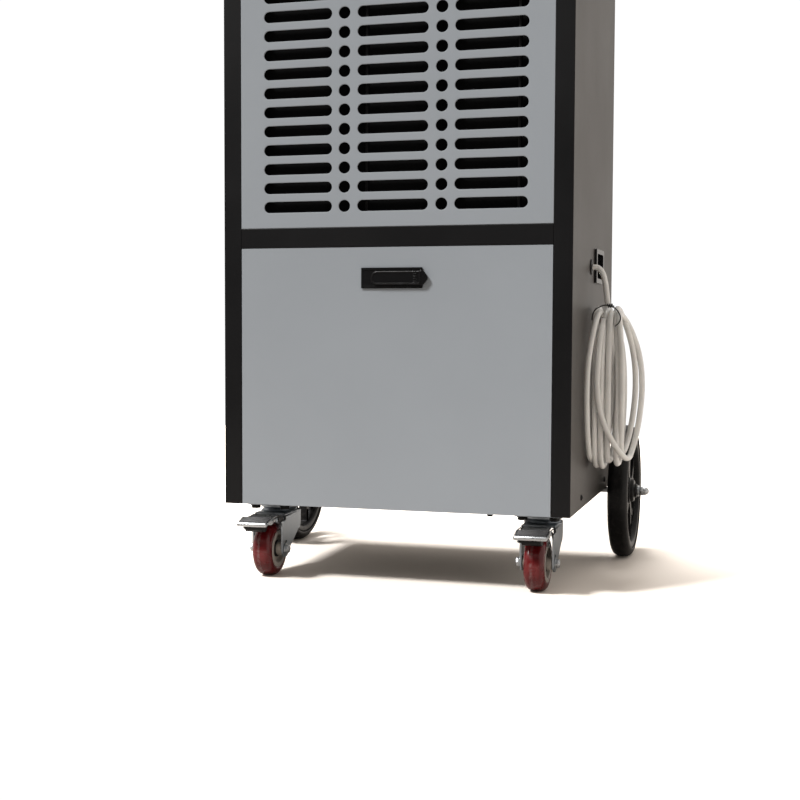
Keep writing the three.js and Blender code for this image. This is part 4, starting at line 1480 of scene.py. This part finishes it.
@dataclass
class Door:
    """Bottom-hinged service door with its quarter-turn latch."""

    latch_z: float = 413.75
    base_half_w: float = 42.5
    base_half_h: float = 13.75
    base_corner: float = 2.6
    base_back: float = -0.3
    base_groove: float = -1.1
    base_front: float = -2.0
    rail: float = 3.0
    pivot_x: float = -19.0
    lever_r: float = 8.8
    lever_tip: float = 50.0
    lever_back: float = -2.4
    lever_front: float = -5.0
    rib_count: int = 4

    def build(self) -> None:
        """Makes the door and its latch."""
        softened("door_skin", "door", GREY_PAINT, 1.5, 4)
        softened("door_liner", "door", GALVANISED, 0.4)
        self._base()
        self._lever()
        repaint("latch_rotor", ZINC)
        self._stop()
        log.info("door and latch done")

    def _base(self) -> None:
        """Escutcheon with a rail along its top and bottom and a groove between them."""
        shape = Shaper("latch_escutcheon")
        hole = arc((self.pivot_x, self.latch_z), 5.5, 0, 345, 23)
        outline = [(x, z + self.latch_z) for x, z in
                   rounded_outline(self.base_half_w, self.base_half_h, self.base_corner)]
        shape.plate(outline, [hole], Axis.Y, self.base_groove, self.base_back)
        for up in (-1, 1):
            middle = self.latch_z + up * (self.base_half_h - self.rail / 2 - 0.15)
            flat = rounded_outline(self.base_half_w - 0.2, self.rail / 2, 0.8, 4)
            rail = [(x, z + middle) for x, z in flat]
            shape.prism(rail, Axis.Y, self.base_front, self.base_groove + 0.2)
        shape.finish("door", LATCH_PLASTIC, ["latch_base"], edge=0.55, segments=3)

    def _lever(self) -> None:
        """Lever with a round root, a raised rim, grip ribs and a blunt rounded tip."""
        shape = Shaper("latch_lever_shaped")
        tip = self.lever_tip
        outline = arc((self.pivot_x, self.latch_z), self.lever_r, 90, 270, 18)
        outline += [(tip - 11, self.latch_z - self.lever_r)]
        outline += arc((tip - 9.5, self.latch_z - 3.0), 7.0, -80, -45, 4)
        outline += arc((tip - 5.0, self.latch_z), 5.0, -40, 40, 8)
        outline += arc((tip - 9.5, self.latch_z + 3.0), 7.0, 45, 80, 4)
        outline += [(tip - 11, self.latch_z + self.lever_r)]
        shape.prism(outline, Axis.Y, self.lever_front, self.lever_back)
        outer, inner = (
            arc((self.pivot_x, self.latch_z), self.lever_r - inset, 90, 270, 20)
            + [(tip - 9.5 - inset, self.latch_z + up * (self.lever_r - inset)) for up in (-1, 1)]
            for inset in (0.5, 2.1))
        shape.plate(outer, [inner], Axis.Y, self.lever_front - 0.7, self.lever_front + 0.3)
        for i in range(self.rib_count):
            z = self.latch_z + (i - (self.rib_count - 1) / 2) * 3.4
            rib = [(x + tip - 17, z + dz) for x, dz in rounded_outline(2.6, 0.8, 0.6, 3)]
            shape.prism(rib, Axis.Y, self.lever_front - 0.8, self.lever_front + 0.2)
        shape.finish("latch_handle", LATCH_PLASTIC, ["latch_lever"], edge=0.45, segments=3)

    def _stop(self) -> None:
        """Small rubber stop under the door's lower edge."""
        box = Span.of("door_skin")
        shape = Shaper("door_stop")
        shape.block((130, box.low.y + 4, box.low.z - 3.2), (137, box.low.y + 9, box.low.z + 0.2), 0.8)
        shape.finish("door", BLACK_PLASTIC)


# ---- front casters -------------------------------------------------------------------------------


@dataclass
class Caster:
    """Braked swivel caster: plate, stamped fork, bolt, wheel and pedal."""

    side: Side
    offset: float = 191.0
    axle_y: float = 43.0
    radius: float = 37.5
    width: float = 28.0
    core_r: float = 26.0
    shoulder: float = 9.0
    swivel_y: float = 80.0
    fork_half: float = 23.0
    fork_thick: float = 2.5
    crown_z: float = 84.5
    crown_thick: float = 3.0
    race_z: float = 92.0
    plate_z: float = 99.0
    plate_top: float = 104.2
    pedal_half: float = 22.6
    pedal_lean: float = -4.2  # play of the left pedal on its pin
    pivot: Pair = (22.0, 81.0)
    pins: tuple[Pair, Pair] = ((18.0, 81.4), (43.0, 80.2))
    stop_pin: Pair = (8.0, 70.6)
    lip: Pair = (-13.4, 78.0)
    lip_r: float = 3.1

    @property
    def x(self) -> float:
        """Middle plane of the caster."""
        return self.side.value * self.offset

    def build(self) -> None:
        """Makes the whole caster."""
        self._plate()
        self._fork()
        self._bolt()
        self._wheel()
        self._pedal()
        log.info("%s caster done", self.side.word)

    def _named(self, stem: str) -> str:
        """Adds the side to a name."""
        return f"{stem}_{self.side.word}"

    def _plate(self) -> None:
        """Top plate with its upper race, king pin and four bolt heads."""
        x = self.x
        shape = Shaper(self._named("caster_plate_shaped"))
        outline = [(x + a, self.swivel_y + b) for a, b in rounded_outline(32, 46, 6)]
        shape.prism(outline, Axis.Z, self.plate_z, self.plate_top)
        shape.turned([(0, 93.2), (21, 93.2), (23, 92.4), (25.5, 92.4), (27, 93.4), (27, 96.4), (25.6, 98.2),
                      (25.6, self.plate_z + 0.5), (0, self.plate_z + 0.5)], Axis.Z, (x, self.swivel_y, 0), 48)
        shape.rod(Axis.Z, 82.6, 93.4, (x, self.swivel_y), 5.0, 1.0)
        shape.finish("cabinet", DARK_REFLECTION_ZINC, [self._named("caster_plate")], edge=0.5)
        heads = Shaper(self._named("caster_bolt_heads"))
        for dx in (-21.5, 21.5):
            for dy in (-36, 36):
                place = (x + dx, self.swivel_y + dy)
                heads.nut(Axis.Z, 93.4, self.plate_z - 1.2, place, 7.0)
                heads.rod(Axis.Z, self.plate_z - 1.4, self.plate_z, place, 8.2, 0.4, 32)
        heads.finish("cabinet", BLACK_PLASTIC)

    def _leg(self) -> list[Pair]:
        """Side view of a fork leg.

        Returns:
            Its outline as y and z.
        """
        y, z = self.axle_y + 2, self.radius
        outline = [(13, self.crown_z), (13.6, 79.0), (15.2, 77.6), (24, 76.6)]
        outline += arc((24, 67.6), 9, 90, 0, 7)
        outline += arc((y, z), 12, 180, 338, 16)
        outline += [(62, 38.4), (74, 45.4), (94, 58.6)]
        outline += arc((91, 69.5), 12.5, -50, 0, 6)
        return outline + [(104, self.crown_z)]

    def _fork(self) -> None:
        """Stamped fork: two pierced legs, a crown with round shoulders and the lower race."""
        x, half = self.x, self.fork_half
        shape = Shaper(self._named("caster_fork_shaped"))
        y, z = self.axle_y, self.radius
        pierced = [arc((y, z), 4.3, 0, 345, 23), arc(self.pins[0], 1.9, 0, 330, 11),
                   arc(self.pins[1], 2.0, 0, 330, 11),
                   [(a + y + 1.5, b + z + 9.6) for a, b in rounded_outline(4.8, 1.9, 0.9, 4)]]
        for start in (x - half, x + half - self.fork_thick):
            shape.plate(self._leg(), pierced, Axis.X, start, start + self.fork_thick)
        top = self.crown_z + self.crown_thick
        shoulder = arc((half - 2.6, top - 2.6), 2.6, 0, 90, 5)
        section = [(x + half, self.crown_z)] + [(x + a, b) for a, b in shoulder]
        section += [(x - a, b) for a, b in reversed(shoulder)] + [(x - half, self.crown_z)]
        shape.prism(section, Axis.Y, 42.0, 104.0)
        race = [(5.6, self.crown_z + 1), (5.6, 90.6), (19, 90.6), (20.4, self.race_z), (22.4, self.race_z),
                (23.4, 90.8), (24.4, 88.2), (26.0, top - 0.2), (26.0, self.crown_z + 1)]
        shape.turned(race, Axis.Z, (x, self.swivel_y, 0), 48)
        shape.finish(self._named("caster"), DARK_REFLECTION_ZINC, [self._named("caster_fork")], edge=0.4)
        pins = Shaper(self._named("fork_pins"))
        for place in self.pins:
            for face in (x - half, x + half):
                pins.rod(Axis.X, face - 0.7, face + 0.7, place, 2.1, 0.3, 20)
        pins.finish(self._named("caster"), BLACK_PLASTIC)

    def _bolt(self) -> None:
        """Axle bolt with washers, a head and a nut."""
        x, place = self.x, (self.axle_y, self.radius)
        shape = Shaper(self._named("caster_bolt"))
        shape.rod(Axis.X, x - 27.5, x + 29.6, place, 3.9, 1.0)
        for way in (-1, 1):
            face = x + way * (self.fork_half + 0.2)
            shape.rod(Axis.X, face, face + way * 1.2, place, 7.4, 0.4, 40)
            near, far = sorted((face + way * 1.1, face + way * 5.4))
            shape.nut(Axis.X, near, far, place, 6.5)
        shape.finish(self._named("caster"), ZINC, [self._named("caster_axle")])

    def _wheel(self) -> None:
        """Glossy tyre on a dished core with a dark bearing shield."""
        x, centre = self.x, (self.x, self.axle_y, self.radius)
        half = self.width / 2
        bead = self.core_r + 0.3
        tyre = Shaper(self._named("caster_tyre_shaped"))
        low = [(self.radius - self.shoulder + r, s - half + self.shoulder)
               for s, r in arc((0, 0), self.shoulder, 180, 90, 9)]
        profile = [(bead, 0.8 - half), (bead + 0.8, 0.15 - half)] + low
        tyre.turned(both_sides(profile), Axis.X, centre, 72)
        # The band sits 3 mm left of the tread's middle; its light speckles are partly scuffs and partly a
        # painted highlight.
        look = TyreFinish(self._named("red_compound"), "red_tyre", (0.105, 0.005, 0.0065), 0.26, coat=0.3,
                          specular=0.3, grain_scale=500.0, grain_strength=0.12, clouding=0.2,
                          cloud_scale=45.0, dust=0.04, middle=(x - 3.0) * MM, band=0.003,
                          scuff_and_highlight=(0.26, 0.19, 0.185), wear_and_highlight=0.5)
        tyre.finish(self._named("caster_wheel"), look, [self._named("caster_tyre")])
        core = Shaper(self._named("caster_core_shaped"))
        flange = half + 0.1
        side = [(4.4, -19.4), (8.2, -19.4), (8.8, -18.8), (9.0, -11.6), (10.2, -10.2), (18.2, -8.2),
                (19.0, -8.6), (19.6, -9.8), (20.0, 0.6 - flange), (20.8, -flange), (25.4, -flange),
                (self.core_r, 0.6 - flange)]
        core.turned(both_sides(side), Axis.X, centre, 56)
        core.finish(self._named("caster_wheel"), TAUPE_PLASTIC, [self._named("caster_core")])
        shield = Shaper(self._named("bearing_shield"))
        for way in (-1, 1):
            ring = [(9.1, 12.2), (11.2, 11.8), (11.8, 11.2), (11.8, 9.2), (9.1, 9.2)]
            shield.turned([(r, way * s) for r, s in ring], Axis.X, centre, 40)
        shield.finish(self._named("caster_wheel"), BLACK_PLASTIC)

    def _pedal(self) -> None:
        """Stamped pedal with a rolled lip, ribbed dark tread, cheeks and brake pad."""
        x = self.x + (self.pedal_lean if self.side is Side.LEFT else 0.0)
        half = self.pedal_half
        body = self._named("brake")
        metal = Shaper(self._named("brake_pedal_shaped"))
        metal.rod(Axis.X, x - half, x + half, self.lip, self.lip_r, 2.7, 24)
        metal.prism([(-13.2, 76.6), (11.4, 81.0), (11.4, 82.4), (-13.2, 79.4)], Axis.X,
                    x - half + 1, x + half - 1)
        cheek = [(-9.6, 78.0), (-9.0, 80.4), (-2.0, 82.6), (7.0, 85.4), (11.0, 85.4), (12.6, 82.4),
                 (9.0, 77.4), (3.0, 76.0)]
        for way in (-1, 1):
            inner, outer = x + way * (half - 1.7), x + way * (half - 0.2)
            metal.prism(cheek, Axis.X, min(inner, outer), max(inner, outer))
        metal.prism([(9, 81.4), (37, 84.4), (37, 85.8), (9, 83.6)], Axis.X, x - 18.5, x + 18.5)
        for y, z in ((16, 84.2), (22, 84.8), (28, 85.3)):
            metal.rod(Axis.X, x - 16.5, x + 16.5, (y, z), 1.1, 0.5, 12)
        metal.rod(Axis.X, x - half + 1, x + half - 1, self.pivot, 2.0, 0.4, 20)
        metal.rod(Axis.X, x - 21.5, x - 19.5, self.stop_pin, 2.3, 0.9, 20)
        metal.finish(body, ZINC, [self._named("caster_pedal")], edge=0.35)
        tread = Shaper(self._named("brake_tread"))
        tread.prism([(-10.6, 79.6), (10.2, 82.6), (10.2, 84.4), (-10.0, 81.4)], Axis.X,
                    x - half + 1.4, x + half - 1.8)
        for i in range(7):
            share = i / 6
            tread.rod(Axis.X, x - half + 2, x + half - 2.4, (-8.6 + 17.4 * share, 81.7 + 2.6 * share),
                      0.85, 0.4, 12)
        tread.finish(body, TREAD_PLASTIC, edge=0.4)
        pad = Shaper(self._named("brake_pad"))
        pad.prism([(-8, 76.8), (-7.4, 70), (-4, 67), (5, 65.6), (9, 67.6), (17, 75.6), (30, 79), (30, 82),
                   (10, 80.4)], Axis.X, x - 13, x + 13)
        pad.rod(Axis.X, x - 19.6, x - 12, self.stop_pin, 2.6, 0.4, 20)
        pad.finish(body, BLACK_PLASTIC, edge=0.9)


# ---- rear wheels ---------------------------------------------------------------------------------


@dataclass
class RearWheel:
    """Large moulded wheel with five forked spokes."""

    side: Side
    offset: float = 267.0
    axle_y: float = 355.0
    radius: float = 100.0
    width: float = 30.0
    rim_r: float = 87.5
    open_r: float = 76.0
    hub_r: float = 20.0
    spokes: int = 5
    arm_spread: float = 18.0
    arm_half: float = 4.2
    stem_half: float = 6.2
    fork_r: float = 41.0
    apex_r: float = 51.0
    web_half: float = 7.0
    shoulder: float = 10.5

    def build(self) -> None:
        """Makes the tyre and the rim."""
        x = self.side.value * self.offset
        centre = (x, self.axle_y, self.radius)
        word = self.side.word
        half = self.width / 2
        tyre = Shaper(f"rear_tyre_{word}_shaped")
        low = [(self.radius - self.shoulder + r, s - half + self.shoulder)
               for s, r in arc((0, 0), self.shoulder, 180, 90, 10)]
        profile = [(self.rim_r + 0.3, 1.0 - half), (self.rim_r + 1.0, 0.2 - half)] + low
        tyre.turned(both_sides(profile), Axis.X, centre, 112)
        tyre.finish(f"rear_wheel_{word}", BLACK_RUBBER, [f"rear_tyre_{word}"])
        rim = Shaper(f"rear_rim_{word}_shaped")
        edge = half - 1.6
        side = [(self.open_r + 0.6, -3.0), (self.open_r + 1.4, 3.0 - edge), (self.open_r + 2.4, 0.6 - edge),
                (self.open_r + 3.4, -edge), (self.rim_r - 1.2, -edge), (self.rim_r, 1.2 - edge)]
        rim.turned(both_sides(side), Axis.X, centre, 112)
        hub = [(4.6, -19), (9.4, -19), (10.4, -18), (10.6, -15.2), (15.5, -14.6), (16.6, -13.6), (17.4, -9.5),
               (self.hub_r, -8.6)]
        rim.turned(both_sides(hub), Axis.X, centre, 56)
        disc = self._around(arc((0, 0), self.open_r + 1.0, 0, 360 - 360 / 112, 111))
        holes = []
        for i in range(self.spokes):
            turn = 90 + 360 / self.spokes * i
            holes += [self._inner_hole(turn), self._outer_hole(turn)]
        holes.append(self._around(arc((0, 0), 10.0, 0, 345, 23)))
        rim.plate(disc, holes, Axis.X, x - self.web_half, x + self.web_half)
        rim.finish(f"rear_wheel_{word}", RIM_PLASTIC, [f"rear_rim_{word}"], edge=1.1)
        log.info("%s rear wheel done", word)

    def _around(self, points: Iterable[Pair]) -> list[Pair]:
        """Moves points from round the origin to round the axle."""
        return [(a + self.axle_y, b + self.radius) for a, b in points]

    def _inner_hole(self, turn: float) -> list[Pair]:
        """Gap between the two arms of one spoke.

        Args:
            turn: the spoke's direction in degrees.

        Returns:
            The gap's outline.
        """
        reach = self.arm_spread - math.degrees(self.arm_half / self.open_r)
        points = [polar(self.apex_r, turn)]
        points += arc((0, 0), self.open_r, turn - reach, turn + reach, 8)
        return self._around(points)

    def _outer_hole(self, turn: float) -> list[Pair]:
        """Gap between one spoke and the next.

        Args:
            turn: the first spoke's direction in degrees.

        Returns:
            The gap's outline.
        """
        step = 360 / self.spokes
        foot = math.degrees(math.asin(self.stem_half / (self.hub_r + 1)))
        bend = math.degrees(math.atan2(self.stem_half, self.fork_r))
        bend_r = math.hypot(self.fork_r, self.stem_half)
        tip = self.arm_spread + math.degrees(self.arm_half / self.open_r)
        points = arc((0, 0), self.hub_r + 1, turn + step - foot, turn + foot, 8)
        points.append(polar(bend_r, turn + bend))
        points += arc((0, 0), self.open_r, turn + tip, turn + step - tip, 8)
        points.append(polar(bend_r, turn + step - bend))
        return self._around(points)


@dataclass
class RearAxle:
    """Axle bar with collars, washers and domed nuts."""

    y: float = 355.0
    z: float = 100.0
    half: float = 304.0
    radius: float = 4.2
    collar: Pair = (241.5, 247.5)
    washer: Pair = (286.8, 288.8)
    nut: Pair = (288.7, 295.6)
    dome_r: float = 6.3
    dome_foot: float = 295.0
    dome_spring: float = 297.2

    def build(self) -> None:
        """Makes the axle."""
        shape = Shaper("rear_axle_shaped")
        collars = Shaper("axle_collars")
        place = (self.y, self.z)
        shape.rod(Axis.X, 8 - self.half, self.half - 8, place, self.radius, 0.4, 24)
        dome = [(0.0, self.dome_foot), (self.dome_r, self.dome_foot)]
        for turn in range(0, 90, 15):
            out, up = polar(1.0, turn)
            dome.append((self.dome_r * out, self.dome_spring + (self.half - self.dome_spring) * up))
        dome.append((0.0, self.half))
        for way in (-1, 1):
            near, far = (way * x for x in self.collar)
            collars.rod(Axis.X, near, far, place, 7.5, 0.6, 32)
            near, far = (way * x for x in self.washer)
            shape.rod(Axis.X, near, far, place, 8.6, 0.5, 40)
            near, far = sorted(way * x for x in self.nut)
            shape.nut(Axis.X, near, far, place, 7.4)
            shape.turned([(r, way * s) for r, s in dome], Axis.X, (0, self.y, self.z), 32)
        shape.finish("cabinet", ZINC, ["rear_axle"])
        collars.finish("cabinet", BLACK_PLASTIC)


# ---- side fittings, handle and controls ----------------------------------------------------------


@dataclass
class MainsInlet:
    """Recessed three-blade mains inlet."""

    y: float = 226.0
    z: float = 436.0
    face: float = 240.3
    proud: float = 3.3
    half_w: float = 36.0
    half_h: float = 24.0
    recess_half_w: float = 29.0
    recess_half_h: float = 17.5
    depth: float = 23.0
    blades: tuple[Pair, ...] = ((-14.0, -3.0), (14.0, -3.0), (0.0, 6.0))
    blade_reach: float = 14.0

    def build(self) -> None:
        """Makes the bezel, the socket and its blades."""
        shape = Shaper("mains_inlet_shaped")
        outer = self._outline(self.half_w, self.half_h, 3.0)
        recess = self._outline(self.recess_half_w, self.recess_half_h, 3.5)
        wall = self._outline(self.recess_half_w + 2.6, self.recess_half_h + 2.6, 4.0)
        shape.plate(outer, [recess], Axis.X, self.face, self.face + self.proud)
        floor = self.face - self.depth
        shape.plate(wall, [recess], Axis.X, floor, self.face)
        shape.prism(wall, Axis.X, floor - 2.5, floor)
        shape.finish("cabinet", GLOSSY_PLASTIC, ["mains_inlet"], edge=0.7)
        blades = Shaper("mains_inlet_blades")
        for dy, dz in self.blades:
            y, z = self.y + dy, self.z + dz
            blades.block((floor, y - 1, z - 3), (floor + self.blade_reach, y + 1, z + 3), 0.5)
        blades.finish("cabinet", ZINC)

    def _outline(self, half_w: float, half_h: float, radius: float) -> list[Pair]:
        """Rounded rectangle about the inlet's middle."""
        return [(a + self.y, b + self.z) for a, b in rounded_outline(half_w, half_h, radius)]


@dataclass
class PushHandle:
    """Bent tube behind the cabinet, with end caps and its clamps."""

    half: float = 190.0
    y: float = 392.0
    foot: float = 850.0
    top: float = 1049.0
    bend: float = 45.0
    radius: float = 11.0

    def build(self) -> None:
        """Makes the tube and softens its clamps."""
        corner_x, corner_z = self.half - self.bend, self.top - self.bend
        right = [(self.half, self.foot + 1), (self.half, corner_z - 30)]
        right += arc((corner_x, corner_z), self.bend, 0, 90, 14) + [(corner_x - 30, self.top)]
        outline = right + [(-x, z) for x, z in reversed(right)]
        shape = Shaper("push_handle_tube")
        shape.pipe([(x, self.y, z) for x, z in outline], self.radius, 32)
        shape.finish("cabinet", BLACK_PAINT, ["push_handle"])
        caps = Shaper("handle_end_caps")
        for way in (-1, 1):
            place = (way * self.half, self.y)
            caps.rod(Axis.Z, self.foot - 2.4, self.foot + 1.0, place, self.radius + 0.6, 1.4, 32)
        caps.finish("cabinet", BLACK_PLASTIC)
        for side in Side:
            softened(f"handle_bracket_{side.word}", "cabinet", BLACK_PLASTIC, 1.2)
        log.info("push handle done")


@dataclass
class Controls:
    """Sloped fascia with its display and three push buttons."""

    def build(self) -> None:
        """Softens the fascia, display and buttons."""
        softened("control_fascia", "cabinet", BLACK_PLASTIC, 0.7)
        softened("display", "cabinet", SCREEN, 0.8)
        for letter, number in zip("abc", (1, 2, 3)):
            softened(f"button_{number}", f"button_{letter}", WHITE_PLASTIC, 0.9, 3)
        log.info("controls done")


@dataclass
class Innards:
    """Cooling circuit, fan and tray inside the shell, which keep their frame shapes."""

    looks: dict[str, Finish] = field(default_factory=lambda: {
        "evaporator_coil": FINS, "condenser_coil": FINS, "fan_shroud": BLACK_PLASTIC,
        "fan_wheel": BLACK_PLASTIC, "fan_motor": MOTOR_CASE, "compressor": ENAMEL,
        "condensate_pump": WHITE_PLASTIC, "refrigerant_pipe": COPPER, "control_box": WHITE_PLASTIC,
        "drain_hose_inner": VINYL, "mid_shelf": GALVANISED, "drip_tray": BLACK_PLASTIC,
        "tray_float": WHITE_PLASTIC})

    def build(self) -> None:
        """Gives each inner node its finish."""
        for node, look in self.looks.items():
            repaint(node, look)
        log.info("innards done")


def main() -> None:
    """Builds the whole picture in order."""
    studio = Studio()
    studio.camera()
    DrainHose().build()
    Cabinet().build()
    Door().build()
    for side in Side:
        Caster(side).build()
        RearWheel(side).build()
    RearAxle().build()
    MainsInlet().build()
    PushHandle().build()
    Controls().build()
    Innards().build()
    studio.lights()
    studio.floor()


if __name__ == "__main__":
    logging.basicConfig(level=logging.INFO, format="%(name)s: %(message)s")
    main()
